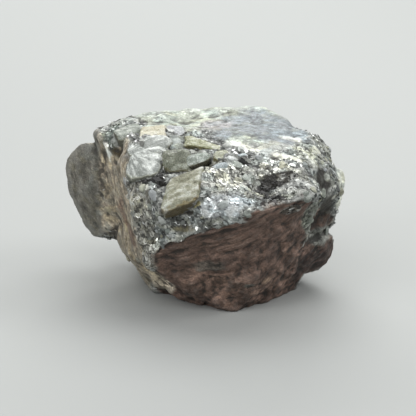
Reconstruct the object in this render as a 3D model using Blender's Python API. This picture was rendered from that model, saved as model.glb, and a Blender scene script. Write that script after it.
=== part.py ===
"""A rough emerald in its mother rock: one broken block of dark mica schist with beryl crystals grown in it.

The stone is one solid. Its form is worked out as a distance from one inner point in every direction: the
nearest of the broken faces in that direction, rounded a little where they meet, with the lumps, pits,
ledges and chips of the fracture laid on top. The crystals that stand out of the rock are joined to it.
Lengths are in millimetres until the mesh is made. X runs to the right, Y to the back and Z up.
"""

import math

import bmesh
import bpy
import numpy as np
from mathutils import Matrix, Vector

MM = 0.001
NODE_NAME = "rough_emerald_stone"
STONE_COLOR = (0.22, 0.22, 0.20, 1.0)
STONE_ROUGHNESS = 0.55
STONE_METALLIC = 0.15

# The inner point that all distances are measured from, and the half widths that spread the mesh evenly.
HEART = np.array([0.0, 3.0, 18.0])
HALF_WIDTHS = np.array([30.0, 22.0, 19.0])
SPHERE_SUBDIVISIONS = 7
KEPT_SHARE = 0.106

# The skin is shaped down to this height, and the foot is then cut flat at zero.
SKIN_BOTTOM = -1.0
# Moves the finished stone so that its bounding box is centred over the origin.
CENTRING = np.array([0.0, -2.95, 0.0])

# How crisp the edges between broken faces are, and how closely two blocks blend where they join.
EDGE_SHARPNESS = 90.0
JOIN_SHARPNESS = 60.0
# Faces of a block that meet at less than these degrees count as one flat face.
FLAT_ANGLE = 2.0
FLAT_ANGLE_CRYSTAL = 7.0

# Corners of the main block, where its broken faces meet.
MAIN_BLOCK = [
    # Skyline of the top, from left to right
    (-23.6, 6.0, 35.6),
    (-20.4, 6.0, 37.6),
    (-16.6, 9.0, 38.6),
    (-10.3, 13.0, 39.2),
    (-0.8, 15.0, 38.8),
    (12.8, 15.5, 39.2),
    (18.8, 12.0, 36.6),
    (25.4, 6.0, 34.6),
    # Ridge between the top and the upper front face
    (-14.0, -3.0, 35.6),
    (4.4, -3.0, 36.2),
    (19.7, -7.0, 33.6),
    # Front edge, which climbs to the right
    (-12.2, -13.2, 12.4),
    (-9.0, -16.6, 17.6),
    (4.3, -19.4, 23.6),
    (11.6, -20.4, 26.8),
    (22.0, -16.6, 28.6),
    # Narrow corner face on the left
    (-15.8, -9.2, 30.8),
    (-12.3, -12.8, 29.6),
    (-8.3, -16.2, 24.8),
    # Rounded right end
    (29.2, 3.0, 30.6),
    (30.2, 0.5, 26.4),
    (30.1, 0.5, 20.0),
    (27.6, -7.5, 26.4),
    # Foot, just below the flat cut that the stone rests on
    (-11.0, 3.0, -1.2),
    (1.0, -4.5, -1.2),
    (7.5, -9.4, -1.2),
    (15.0, -3.5, -1.2),
    (19.0, 3.0, -1.2),
    (18.5, 10.5, -1.2),
    (7.0, 16.5, -1.2),
    (-8.0, 15.5, -1.2),
    (-14.0, 9.5, -1.2),
    # Broken underside behind the foot
    (-19.0, 11.0, 5.5),
    (-14.5, 20.5, 6.0),
    (8.0, 23.0, 5.5),
    (22.5, 15.0, 5.0),
    # Back
    (-24.0, 14.0, 29.0),
    (-24.0, 20.0, 17.0),
    (-6.0, 24.5, 27.0),
    (8.0, 25.0, 14.0),
    (20.0, 19.0, 28.0),
    (27.0, 13.0, 15.0),
]

# The lobe that stands out at the back left, seen past the striated left face.
LEFT_LOBE = [
    (-24.0, 8.0, 32.2),
    (-27.2, 10.0, 31.7),
    (-29.6, 11.5, 29.2),
    (-31.2, 12.5, 25.1),
    (-30.6, 12.5, 19.5),
    (-28.6, 12.5, 14.0),
    (-25.5, 13.0, 8.5),
    (-27.5, 19.0, 26.0),
    (-26.0, 20.0, 14.0),
    (-19.0, 22.0, 20.0),
    (-10.0, 12.0, 30.0),
    (-15.5, 0.5, 18.0),
    (-18.0, 3.0, 28.0),
    (-12.0, 14.0, 6.0),
    (8.0, 0.0, 12.0),
    (8.0, 8.0, 24.0),
]

# The dark lump low on the right, under the rounded end.
LOW_RIGHT_LUMP = [
    (28.9, 2.0, 9.4),
    (28.4, 4.5, 5.6),
    (25.6, 6.5, 2.2),
    (23.0, 9.0, 0.6),
    (18.5, -5.5, 9.0),
    (20.5, -7.0, 12.0),
    (28.6, 0.5, 13.4),
    (29.3, 2.0, 11.4),
    (25.0, 12.0, 10.0),
    (0.0, -4.0, 16.0),
    (-6.0, 8.0, 14.0),
    (-4.0, 4.0, 26.0),
    (6.0, 12.0, 24.0),
]

BLOCKS = (MAIN_BLOCK, LEFT_LOBE, LOW_RIGHT_LUMP)

# Lumps and pits: name, place on the surface, radius across, height. A pit has a height below zero.
LUMPS = [
    ("swelling under the mica fan", (-11.6, -5.5, 33.6), 5.0, 0.9),
    ("grey knob at the top left", (-17.5, -1.0, 35.0), 3.6, 0.9),
    ("rusty pocket", (-18.9, -0.8, 33.2), 2.5, -1.9),
    ("dark pocket in the glittering face", (13.4, -13.4, 30.0), 3.3, -2.1),
    ("hollow beside the pocket", (17.0, -12.0, 31.2), 2.4, -0.6),
    ("hollow under the crystal bar", (-5.0, -17.0, 24.8), 3.2, -1.4),
    ("seat of the crystal bar", (-2.6, -13.8, 30.0), 2.6, -0.9),
    ("lip over the brown face", (5.0, -18.6, 26.0), 4.2, 0.6),
    ("dip in the skyline at the right", (21.5, 9.0, 35.2), 3.2, -0.8),
    ("dip in the skyline left of the middle", (-3.5, 10.0, 39.0), 7.5, -1.3),
    ("corner over the left lobe", (-22.8, 5.8, 34.0), 2.6, 1.1),
    ("rounded top of the left lobe", (-28.6, 10.6, 30.2), 2.2, -0.7),
    ("rounded right shoulder", (27.8, 2.8, 31.5), 3.6, -0.9),
    ("hollow in the right end", (27.0, -5.0, 20.5), 4.6, -1.9),
    ("hollow high on the right end", (25.4, -7.6, 29.2), 2.6, -1.0),
    ("pale hollow over the low right lump", (25.5, -5.5, 14.5), 3.4, -0.9),
    ("hollow low on the left", (-9.5, -5.0, 6.5), 5.0, -1.6),
    ("knob on the lower front", (9.0, -11.2, 7.5), 4.6, 1.1),
    ("dip beside that knob", (1.0, -10.5, 8.0), 4.0, -0.9),
    ("swelling on the back", (2.0, 25.0, 22.0), 9.0, 1.2),
    ("hollow in the back", (16.0, 20.0, 20.0), 6.5, -1.5),
    ("hollow in the back left", (-15.0, 22.0, 24.0), 5.5, -1.3),
]

# Smoother faces, where the fracture's chips stay low: name, place, radius, share of the chips kept.
CALM_FACES = [
    ("blue grey cleavage face", (13.0, 3.0, 37.0), 11.0, 0.2),
    ("brown slip face", (6.0, -15.0, 17.0), 13.0, 0.45),
    ("left lobe", (-28.0, 11.0, 24.0), 9.0, 0.6),
]

# Grooves: name, first end, last end, half width, depth.
GROOVES = [
    ("crevice over the crystal bar", (-7.6, -9.2, 30.4), (1.0, -7.6, 32.6), 1.25, 2.4),
    ("crack on to the blue grey grains", (1.0, -7.6, 32.6), (5.4, -9.4, 31.0), 1.2, 1.5),
    ("step under the left lobe's root", (-22.6, 3.4, 31.0), (-22.8, 4.6, 12.0), 1.5, 0.6),
    ("seam under the corner face", (-12.4, -13.0, 16.0), (-8.0, -17.4, 21.0), 1.1, 0.8),
    ("parting on the brown face", (-6.0, -15.6, 15.6), (24.0, -12.0, 23.0), 1.1, 0.7),
    ("parting low on the brown face", (-4.0, -12.0, 9.0), (24.0, -8.6, 15.4), 1.2, 0.7),
    ("crack up the right end", (24.5, -12.0, 19.0), (27.4, -6.0, 31.0), 1.2, 1.1),
]

# Chips of the fracture: size of a chip, how steeply its face tilts, and its random seed.
LARGE_CHIPS = (8.5, 0.11, 11)
SMALL_CHIPS = (3.4, 0.12, 23)
# How far whole chips stand up or down, as a share of their tilt, and how soon the next chip takes over.
CHIP_LIFT = 0.5
CHIP_BEND = 1.0
# Slow swelling of the whole skin: size of a swell, its height and its random seed.
SWELL_CELL = 11.0
SWELL_HEIGHT = 0.55
SWELL_SEED = 5

# Layers of the schist: the direction across them, their spacing, how far one stands past the next, the
# share of the spacing that a riser takes, and the slow wave that bends them.
LAYER_NORMAL = np.array([0.05, 0.98, -0.21])
LAYER_SPACING = 1.9
LAYER_STEP = 0.26
LAYER_RISER = 0.25
LAYER_WAVE_HEIGHT = 1.4
LAYER_WAVE_CELL = 9.0
LAYER_WAVE_SEED = 31

# Crystals: name, middle, direction along, direction out of the rock, length, width, thickness, taper towards
# their far end (below zero) or near end, and how far they lean along themselves across their width.
CRYSTALS = [
    ("olive crystal bar",
     (-4.0, -13.7, 28.4), (0.94, 0.15, 0.31), (-0.17, -0.59, 0.79), 8.7, 7.2, 4.2, 0.07, 0.53),
    ("olive ridge crystal",
     (0.5, -3.2, 34.7), (0.97, -0.23, -0.06), (-0.05, -0.42, 0.91), 8.8, 2.9, 2.8, -0.9, -0.16),
    ("upper leaf of the fan",
     (-11.6, -4.0, 34.6), (0.95, -0.2, 0.05), (-0.17, -0.45, 0.88), 7.8, 5.9, 3.6, 0.2, 0.2),
    ("lower leaf of the fan",
     (-12.0, -7.0, 32.0), (0.95, 0.0, 0.1), (-0.15, -0.72, 0.68), 7.4, 7.3, 4.2, 0.2, 0.3),
    ("grey green mass",
     (-5.6, -7.0, 32.4), (0.98, 0.1, 0.1), (-0.05, -0.75, 0.66), 6.4, 6.6, 4.4, 0.0, -0.1),
    ("glassy lens",
     (-1.2, -7.6, 33.3), (0.95, 0.23, 0.21), (0.0, -0.8, 0.6), 5.2, 2.8, 3.0, -0.2, 0.0),
    ("blue grey grain",
     (3.5, -9.2, 31.9), (0.8, 0.1, 0.3), (0.1, -0.7, 0.7), 3.6, 2.6, 3.0, 0.0, 0.0),
    ("yellow green grain",
     (3.8, -6.6, 33.5), (0.8, 0.3, -0.2), (0.1, -0.6, 0.79), 3.4, 3.0, 3.0, 0.0, 0.0),
    ("pale grain",
     (7.8, -6.4, 33.3), (0.95, 0.2, 0.1), (0.1, -0.7, 0.7), 3.2, 2.0, 2.6, 0.0, 0.0),
    ("cream feldspar grain",
     (-10.6, 0.4, 36.0), (0.98, 0.1, 0.1), (-0.1, -0.3, 0.95), 5.4, 4.8, 3.6, 0.0, 0.1),
    ("lilac grey grain",
     (-6.2, 1.6, 35.8), (0.95, -0.2, 0.0), (-0.05, -0.4, 0.91), 4.4, 4.4, 3.0, 0.0, 0.0),
    ("grey green knob",
     (-16.0, 1.9, 36.0), (0.85, 0.45, 0.2), (-0.35, -0.4, 0.85), 6.0, 5.0, 3.2, 0.0, 0.0),
]

# Corners of a crystal's section, and the sections along it: place and size, as shares of its full size.
CRYSTAL_SECTION = (
    (0.5, 0.3), (0.38, 0.5), (-0.38, 0.5), (-0.5, 0.3),
    (-0.5, -0.3), (-0.38, -0.5), (0.38, -0.5), (0.5, -0.3),
)
CRYSTAL_SECTIONS = ((-0.5, 0.78), (-0.39, 1.0), (0.39, 1.0), (0.5, 0.78))

# How far a crystal's corners stray from that regular shape, as a share of its size.
CRYSTAL_UNEVENNESS = 0.07

# The block that cuts the foot flat: its width and height.
FOOT_CUTTER = (120.0, 10.0)


def hashed(cells, seed):
    """One pseudo-random number from 0 to 1 for each whole-number cell of a lattice."""
    x, y, z = (cells[..., axis].astype(np.int64) for axis in range(3))
    mixed = (x * 374761393 + y * 668265263 + z * 1440662683 + seed * 974634777) & 0xFFFFFFFF
    mixed = ((mixed ^ (mixed >> 13)) * 1274126177) & 0xFFFFFFFF
    mixed = ((mixed ^ (mixed >> 16)) * 668265263) & 0xFFFFFFFF
    return (mixed ^ (mixed >> 15)) / float(0xFFFFFFFF)


def smooth_noise(points, cell, seed):
    """Random values on a lattice, blended smoothly between its corners, from -1 to 1."""
    scaled = points / cell
    base = np.floor(scaled)
    share = scaled - base
    share = share * share * (3.0 - 2.0 * share)
    total = np.zeros(len(points))
    for corner in np.ndindex(2, 2, 2):
        offset = np.array(corner)
        weight = np.prod(np.where(offset == 1, share, 1.0 - share), axis=1)
        total += weight * hashed(base + offset, seed)
    return 2.0 * total - 1.0


def highest_planes(points, seed):
    """The highest, at each point, of tilted and domed planes, one about each centre of a jittered lattice."""
    base = np.floor(points)
    highest = np.full(len(points), -np.inf)
    for step in np.ndindex(3, 3, 3):
        lattice = base + np.array(step) - 1
        jitter = np.stack([hashed(lattice, seed + axis) for axis in range(3)], axis=1)
        away = points - lattice - jitter
        distance = np.einsum("ij,ij->i", away, away)
        lean = np.stack([hashed(lattice, seed + 7 + axis) for axis in range(3)], axis=1) - 0.5
        lift = CHIP_LIFT * (hashed(lattice, seed + 17) - 0.5)
        plane = 2.0 * np.einsum("ij,ij->i", away, lean) + lift - CHIP_BEND * distance
        highest = np.maximum(highest, plane)
    return highest


def chips(points, cell, tilt, seed):
    """Flat chips that meet in sharp ridges and valleys: one set of highest planes less another."""
    return cell * tilt * (highest_planes(points / cell, seed) - highest_planes(points / cell, seed + 50))


def layers(points):
    """Steps of the schist's layers: a soft staircase across the layers, bent by a slow wave."""
    across = points @ (LAYER_NORMAL / np.linalg.norm(LAYER_NORMAL))
    across = across + LAYER_WAVE_HEIGHT * smooth_noise(points, LAYER_WAVE_CELL, LAYER_WAVE_SEED)
    turn = across / LAYER_SPACING
    stair = hashed(np.repeat(np.floor(turn)[:, None], 3, axis=1), LAYER_WAVE_SEED)
    following = hashed(np.repeat(np.floor(turn)[:, None] + 1, 3, axis=1), LAYER_WAVE_SEED)
    share = np.clip((turn - np.floor(turn) - 1.0 + LAYER_RISER) / LAYER_RISER, 0.0, 1.0)
    return LAYER_STEP * (2.0 * (stair + share * (following - stair)) - 1.0)


def faces_of(corners):
    """Outward normals of the convex block with these corners, and each face's distance from HEART."""
    shape = bmesh.new()
    for corner in corners:
        shape.verts.new(Vector(np.array(corner) - HEART))
    bmesh.ops.convex_hull(shape, input=shape.verts)
    bmesh.ops.dissolve_limit(
        shape, angle_limit=math.radians(FLAT_ANGLE), verts=shape.verts, edges=shape.edges
    )
    bmesh.ops.recalc_face_normals(shape, faces=shape.faces)
    shape.normal_update()
    normals = np.array([face.normal for face in shape.faces])
    middles = np.array([face.calc_center_median() for face in shape.faces])
    shape.free()
    return normals, np.einsum("ij,ij->i", normals, middles)


def reach_of_block(directions, corners):
    """Distance from HEART to the block's skin: the p-norm of the faces' reciprocal distances, inverted."""
    normals, distances = faces_of(corners)
    steepness = np.clip(directions @ normals.T / distances, 0.0, None)
    largest = steepness.max(axis=1, keepdims=True)
    total = ((steepness / largest) ** EDGE_SHARPNESS).sum(axis=1)
    return 1.0 / (largest[:, 0] * total ** (1.0 / EDGE_SHARPNESS))


def reach_of_stone(directions):
    """The blocks joined: the p-norm of their reaches, which blends them softly where they meet."""
    reaches = np.stack([reach_of_block(directions, block) for block in BLOCKS], axis=1)
    largest = reaches.max(axis=1, keepdims=True)
    total = ((reaches / largest) ** JOIN_SHARPNESS).sum(axis=1)
    return largest[:, 0] * total ** (1.0 / JOIN_SHARPNESS)


def lumps_and_grooves(points):
    """Bell-shaped lumps and pits about their places, and grooves along their lines."""
    height = np.zeros(len(points))
    for _, place, radius, rise in LUMPS:
        away = np.linalg.norm(points - np.array(place), axis=1)
        height += rise * np.exp(-((away / radius) ** 4))
    for _, start, end, half_width, depth in GROOVES:
        start, end = np.array(start), np.array(end)
        along = np.clip((points - start) @ (end - start) / np.sum((end - start) ** 2), 0.0, 1.0)
        away = np.linalg.norm(points - start - along[:, None] * (end - start), axis=1)
        height -= depth * np.exp(-((away / half_width) ** 2))
    return height


def roughness_share(points):
    """How much of the chips stays at each point: less on the smoother faces."""
    share = np.ones(len(points))
    for _, place, radius, kept in CALM_FACES:
        away = np.linalg.norm(points - np.array(place), axis=1)
        share *= 1.0 - (1.0 - kept) * np.exp(-((away / radius) ** 4))
    return share


def stone_points(directions):
    """Points of the stone's skin in millimetres, with its lumps, layers and chips, flat underneath."""
    reach = reach_of_stone(directions)
    bare = HEART + directions * reach[:, None]
    relief = lumps_and_grooves(bare)
    relief += roughness_share(bare) * (chips(bare, *LARGE_CHIPS) + chips(bare, *SMALL_CHIPS))
    relief += SWELL_HEIGHT * smooth_noise(bare, SWELL_CELL, SWELL_SEED)
    relief += roughness_share(bare) * layers(bare)
    reach = reach + relief
    downward = np.minimum(directions[:, 2], -1e-6)
    reach = np.minimum(reach, (SKIN_BOTTOM - HEART[2]) / downward)
    return HEART + directions * reach[:, None]


def stone_material():
    """Dark silvery schist."""
    material = bpy.data.materials.new("mica_schist")
    material.use_nodes = True
    shader = material.node_tree.nodes["Principled BSDF"]
    shader.inputs["Base Color"].default_value = STONE_COLOR
    shader.inputs["Roughness"].default_value = STONE_ROUGHNESS
    shader.inputs["Metallic"].default_value = STONE_METALLIC
    return material


def build_rock():
    """The block of schist: an icosphere pushed out to the stone's skin, then thinned where it is flat."""
    shape = bmesh.new()
    bmesh.ops.create_icosphere(shape, subdivisions=SPHERE_SUBDIVISIONS, radius=1.0)
    mesh = bpy.data.meshes.new(NODE_NAME)
    shape.to_mesh(mesh)
    shape.free()
    directions = np.empty(len(mesh.vertices) * 3)
    mesh.vertices.foreach_get("co", directions)
    directions = directions.reshape(-1, 3) * HALF_WIDTHS
    directions /= np.linalg.norm(directions, axis=1, keepdims=True)
    points = stone_points(directions)
    mesh.vertices.foreach_set("co", ((points + CENTRING) * MM).ravel())
    mesh.update()
    rock = bpy.data.objects.new(NODE_NAME, mesh)
    bpy.context.collection.objects.link(rock)
    thin = rock.modifiers.new("thin_flat_areas", "DECIMATE")
    thin.ratio = KEPT_SHARE
    return rock


def crystal_corners(length, width, thickness, taper, lean, seed):
    """Corners of a blocky crystal along X: its sections, each corner moved a little at random."""
    corners = np.array([
        (place, size * across, size * up)
        for place, size in CRYSTAL_SECTIONS
        for across, up in CRYSTAL_SECTION
    ])
    cells = np.repeat(np.arange(len(corners))[:, None], 3, axis=1)
    strays = np.stack([hashed(cells, seed + axis) for axis in range(3)], axis=1) - 0.5
    corners += 2.0 * CRYSTAL_UNEVENNESS * strays
    corners[:, 1:] *= 1.0 + taper * corners[:, :1]
    corners *= (length, width, thickness)
    corners[:, 0] += lean * corners[:, 1]
    return corners


def build_crystal(name, middle, along, outward, *sizes):
    """A blocky, slightly uneven crystal lying in the rock, with its broad side outwards."""
    shape = bmesh.new()
    for corner in crystal_corners(*sizes, len(name)):
        shape.verts.new(corner * MM)
    bmesh.ops.convex_hull(shape, input=shape.verts)
    bmesh.ops.delete(shape, geom=[v for v in shape.verts if not v.link_faces], context="VERTS")
    bmesh.ops.dissolve_limit(
        shape, angle_limit=math.radians(FLAT_ANGLE_CRYSTAL), verts=shape.verts, edges=shape.edges
    )
    bmesh.ops.triangulate(shape, faces=shape.faces)
    bmesh.ops.recalc_face_normals(shape, faces=shape.faces)
    mesh = bpy.data.meshes.new(name)
    shape.to_mesh(mesh)
    shape.free()
    crystal = bpy.data.objects.new(name, mesh)
    bpy.context.collection.objects.link(crystal)
    x_axis = Vector(along).normalized()
    z_axis = (Vector(outward) - Vector(outward).dot(x_axis) * x_axis).normalized()
    y_axis = z_axis.cross(x_axis)
    crystal.matrix_world = Matrix.Translation(Vector(middle + CENTRING) * MM) @ Matrix(
        (x_axis, y_axis, z_axis)
    ).transposed().to_4x4()
    crystal.hide_render = True
    crystal.display_type = "WIRE"
    return crystal


def build_foot_cutter():
    """A block whose top lies at height zero, for cutting the foot flat."""
    width, height = FOOT_CUTTER
    shape = bmesh.new()
    bmesh.ops.create_cube(shape, size=1.0)
    bmesh.ops.scale(shape, vec=(width * MM, width * MM, height * MM), verts=shape.verts)
    bmesh.ops.translate(shape, vec=(0.0, 0.0, -0.5 * height * MM), verts=shape.verts)
    mesh = bpy.data.meshes.new("foot_cutter")
    shape.to_mesh(mesh)
    shape.free()
    cutter = bpy.data.objects.new("foot_cutter", mesh)
    bpy.context.collection.objects.link(cutter)
    cutter.hide_render = True
    cutter.display_type = "WIRE"
    return cutter


def build_stone():
    """The rock with its foot cut flat and its crystals joined to it in one solid."""
    rock = build_rock()
    flat = rock.modifiers.new("flat_foot", "BOOLEAN")
    flat.operation = "DIFFERENCE"
    flat.solver = "EXACT"
    flat.object = build_foot_cutter()
    for values in CRYSTALS:
        joined = rock.modifiers.new(values[0].replace(" ", "_"), "BOOLEAN")
        joined.operation = "UNION"
        joined.solver = "EXACT"
        joined.object = build_crystal(*values)
    rock.data.materials.append(stone_material())
    return rock


def main():
    for leftover in list(bpy.data.objects):
        bpy.data.objects.remove(leftover, do_unlink=True)
    build_stone()


main()
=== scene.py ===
"""Looks of a rough emerald in its mother rock: dark mica schist with beryl, mica, feldspar and quartz in it.

The stone's skin is worked out as in its solid: a distance from one inner point in every direction, from the
broken faces of three blocks, with the lumps, crevices, chips and layers of the fracture on top. Fine flakes
and layers follow on a dense grid. Each crystal is a grid pushed out to the faces of an uneven prism.
Lengths are in millimetres until a mesh is made. X runs to the right, Y to the back and Z up.
"""

import math

import bmesh
import bpy
import numpy as np
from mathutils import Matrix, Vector


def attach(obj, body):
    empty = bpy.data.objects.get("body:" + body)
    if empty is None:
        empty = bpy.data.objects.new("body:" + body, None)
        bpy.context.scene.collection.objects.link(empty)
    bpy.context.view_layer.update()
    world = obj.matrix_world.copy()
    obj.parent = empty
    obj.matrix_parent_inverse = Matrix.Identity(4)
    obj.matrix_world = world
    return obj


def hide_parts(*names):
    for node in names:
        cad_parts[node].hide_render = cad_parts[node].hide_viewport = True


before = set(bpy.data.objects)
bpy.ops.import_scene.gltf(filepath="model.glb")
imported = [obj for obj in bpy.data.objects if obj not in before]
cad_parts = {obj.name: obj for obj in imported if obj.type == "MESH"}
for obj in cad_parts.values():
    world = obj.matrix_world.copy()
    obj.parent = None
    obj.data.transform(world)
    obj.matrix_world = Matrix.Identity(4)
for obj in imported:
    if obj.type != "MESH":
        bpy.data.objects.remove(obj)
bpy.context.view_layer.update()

MM = 0.001
STONE_NODE = "rough_emerald_stone"

# Form of the stone, as in its solid

HEART = np.array([0.0, 3.0, 18.0])
HALF_WIDTHS = np.array([30.0, 22.0, 19.0])
CENTRING = np.array([0.0, -2.95, 0.0])
EDGE_SHARPNESS = 90.0
JOIN_SHARPNESS = 60.0
FLAT_ANGLE = 2.0
FLAT_ANGLE_CRYSTAL = 7.0

MAIN_BLOCK = [
    # Skyline of the top, from left to right
    (-23.6, 6.0, 35.6),
    (-20.4, 6.0, 37.6),
    (-16.6, 9.0, 38.6),
    (-10.3, 13.0, 39.2),
    (-0.8, 15.0, 38.8),
    (12.8, 15.5, 39.2),
    (18.8, 12.0, 36.6),
    (25.4, 6.0, 34.6),
    # Ridge between the top and the upper front face
    (-14.0, -3.0, 35.6),
    (4.4, -3.0, 36.2),
    (19.7, -7.0, 33.6),
    # Front edge, which climbs to the right
    (-12.2, -13.2, 12.4),
    (-9.0, -16.6, 17.6),
    (4.3, -19.4, 23.6),
    (11.6, -20.4, 26.8),
    (22.0, -16.6, 28.6),
    # Narrow corner face on the left
    (-15.8, -9.2, 30.8),
    (-12.3, -12.8, 29.6),
    (-8.3, -16.2, 24.8),
    # Rounded right end
    (29.2, 3.0, 30.6),
    (30.2, 0.5, 26.4),
    (30.1, 0.5, 20.0),
    (27.6, -7.5, 26.4),
    # Foot, just below the flat cut that the stone rests on
    (-11.0, 3.0, -1.2),
    (1.0, -4.5, -1.2),
    (7.5, -9.4, -1.2),
    (15.0, -3.5, -1.2),
    (19.0, 3.0, -1.2),
    (18.5, 10.5, -1.2),
    (7.0, 16.5, -1.2),
    (-8.0, 15.5, -1.2),
    (-14.0, 9.5, -1.2),
    # Broken underside behind the foot
    (-19.0, 11.0, 5.5),
    (-14.5, 20.5, 6.0),
    (8.0, 23.0, 5.5),
    (22.5, 15.0, 5.0),
    # Back
    (-24.0, 14.0, 29.0),
    (-24.0, 20.0, 17.0),
    (-6.0, 24.5, 27.0),
    (8.0, 25.0, 14.0),
    (20.0, 19.0, 28.0),
    (27.0, 13.0, 15.0),
]

LEFT_LOBE = [
    (-24.0, 8.0, 32.2),
    (-27.2, 10.0, 31.7),
    (-29.6, 11.5, 29.2),
    (-31.2, 12.5, 25.1),
    (-30.6, 12.5, 19.5),
    (-28.6, 12.5, 14.0),
    (-25.5, 13.0, 8.5),
    (-27.5, 19.0, 26.0),
    (-26.0, 20.0, 14.0),
    (-19.0, 22.0, 20.0),
    (-10.0, 12.0, 30.0),
    (-15.5, 0.5, 18.0),
    (-18.0, 3.0, 28.0),
    (-12.0, 14.0, 6.0),
    (8.0, 0.0, 12.0),
    (8.0, 8.0, 24.0),
]

LOW_RIGHT_LUMP = [
    (28.9, 2.0, 9.4),
    (28.4, 4.5, 5.6),
    (25.6, 6.5, 2.2),
    (23.0, 9.0, 0.6),
    (18.5, -5.5, 9.0),
    (20.5, -7.0, 12.0),
    (28.6, 0.5, 13.4),
    (29.3, 2.0, 11.4),
    (25.0, 12.0, 10.0),
    (0.0, -4.0, 16.0),
    (-6.0, 8.0, 14.0),
    (-4.0, 4.0, 26.0),
    (6.0, 12.0, 24.0),
]

BLOCKS = (MAIN_BLOCK, LEFT_LOBE, LOW_RIGHT_LUMP)

# Lumps and pits: name, place on the surface, radius across, height. A pit has a height below zero.
LUMPS = [
    ("swelling under the mica fan", (-11.6, -5.5, 33.6), 5.0, 0.9),
    ("grey knob at the top left", (-17.5, -1.0, 35.0), 3.6, 0.9),
    ("rusty pocket", (-18.9, -0.8, 33.2), 2.5, -1.9),
    ("dark pocket in the glittering face", (13.4, -13.4, 30.0), 3.3, -2.1),
    ("hollow beside the pocket", (17.0, -12.0, 31.2), 2.4, -0.6),
    ("hollow under the crystal bar", (-5.0, -17.0, 24.8), 3.2, -1.4),
    ("seat of the crystal bar", (-2.6, -13.8, 30.0), 2.6, -0.9),
    ("lip over the brown face", (5.0, -18.6, 26.0), 4.2, 0.6),
    ("dip in the skyline at the right", (21.5, 9.0, 35.2), 3.2, -0.8),
    ("dip in the skyline left of the middle", (-3.5, 10.0, 39.0), 7.5, -1.3),
    ("corner over the left lobe", (-22.8, 5.8, 34.0), 2.6, 1.1),
    ("rounded top of the left lobe", (-28.6, 10.6, 30.2), 2.2, -0.7),
    ("rounded right shoulder", (27.8, 2.8, 31.5), 3.6, -0.9),
    ("hollow in the right end", (27.0, -5.0, 20.5), 4.6, -1.9),
    ("hollow high on the right end", (25.4, -7.6, 29.2), 2.6, -1.0),
    ("pale hollow over the low right lump", (25.5, -5.5, 14.5), 3.4, -0.9),
    ("hollow low on the left", (-9.5, -5.0, 6.5), 5.0, -1.6),
    ("knob on the lower front", (9.0, -11.2, 7.5), 4.6, 1.1),
    ("dip beside that knob", (1.0, -10.5, 8.0), 4.0, -0.9),
    ("swelling on the back", (2.0, 25.0, 22.0), 9.0, 1.2),
    ("hollow in the back", (16.0, 20.0, 20.0), 6.5, -1.5),
    ("hollow in the back left", (-15.0, 22.0, 24.0), 5.5, -1.3),
]

# Smoother faces, where the fracture's chips stay low: name, place, radius, share of the chips kept.
CALM_FACES = [
    ("blue grey cleavage face", (13.0, 3.0, 37.0), 11.0, 0.2),
    ("brown slip face", (6.0, -15.0, 17.0), 13.0, 0.45),
    ("left lobe", (-28.0, 11.0, 24.0), 9.0, 0.6),
]

# Grooves: name, first end, last end, half width, depth.
GROOVES = [
    ("crevice over the crystal bar", (-7.6, -9.2, 30.4), (1.0, -7.6, 32.6), 1.25, 2.4),
    ("crack on to the blue grey grains", (1.0, -7.6, 32.6), (5.4, -9.4, 31.0), 1.2, 1.5),
    ("step under the left lobe's root", (-22.6, 3.4, 31.0), (-22.8, 4.6, 12.0), 1.5, 0.6),
    ("seam under the corner face", (-12.4, -13.0, 16.0), (-8.0, -17.4, 21.0), 1.1, 0.8),
    ("parting on the brown face", (-6.0, -15.6, 15.6), (24.0, -12.0, 23.0), 1.1, 0.7),
    ("parting low on the brown face", (-4.0, -12.0, 9.0), (24.0, -8.6, 15.4), 1.2, 0.7),
    ("crack up the right end", (24.5, -12.0, 19.0), (27.4, -6.0, 31.0), 1.2, 1.1),
]

# Chips of the fracture: size of a chip, how steeply its face tilts, and its random seed.
LARGE_CHIPS = (8.5, 0.11, 11)
SMALL_CHIPS = (3.4, 0.12, 23)
CHIP_LIFT = 0.5
CHIP_BEND = 1.0
SWELL_CELL = 11.0
SWELL_HEIGHT = 0.55
SWELL_SEED = 5

# Layers of the schist: direction across them, spacing, height of a step, share of the spacing that a riser
# takes, height and cell of the slow wave that bends them, and the random seed.
LAYER_NORMAL = np.array([0.05, 0.98, -0.21]) / np.linalg.norm([0.05, 0.98, -0.21])
BROAD_LAYERS = (LAYER_NORMAL, 1.9, 0.26, 0.25, 1.4, 9.0, 31)

# Finer relief of the skin

GRID_COUNT = 127
DENSER_TOWARDS = np.array([0.0, -0.94, 0.34])
DENSER_SHARE = 0.28
CRUMB_CHIPS = (4.0, 0.13, 47)
FLAKE_CHIPS = (1.9, 0.17, 41)
FINE_FLAKE_CHIPS = (0.9, 0.2, 43)
FINE_LAYERS = (LAYER_NORMAL, 0.62, 0.1, 0.4, 0.5, 5.0, 37)
# The brown face slid along this line: the direction across it, in the face
SLIP_NORMAL = np.array([-0.41, -0.32, 0.85]) / np.linalg.norm([-0.41, -0.32, 0.85])
SLIP_LINES = (SLIP_NORMAL, 0.9, 0.08, 0.6, 0.35, 8.0, 39)
SLIP_LEDGES = (SLIP_NORMAL, 3.1, 0.25, 0.25, 0.9, 8.0, 33)
SLIP_ALONG = np.array([0.9, -0.05, 0.42])
SLIP_TEARS = (1.5, 0.26, 48)
SLIP_KNOBS = (3.6, 0.15, 45)
SLIP_GRAINS = (1.3, 0.14, 46)
SLIP_RECESS = 0.3
ROUGH_CELLS = ((2.6, 0.16, 51), (1.1, 0.08, 52), (0.55, 0.045, 53))

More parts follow.
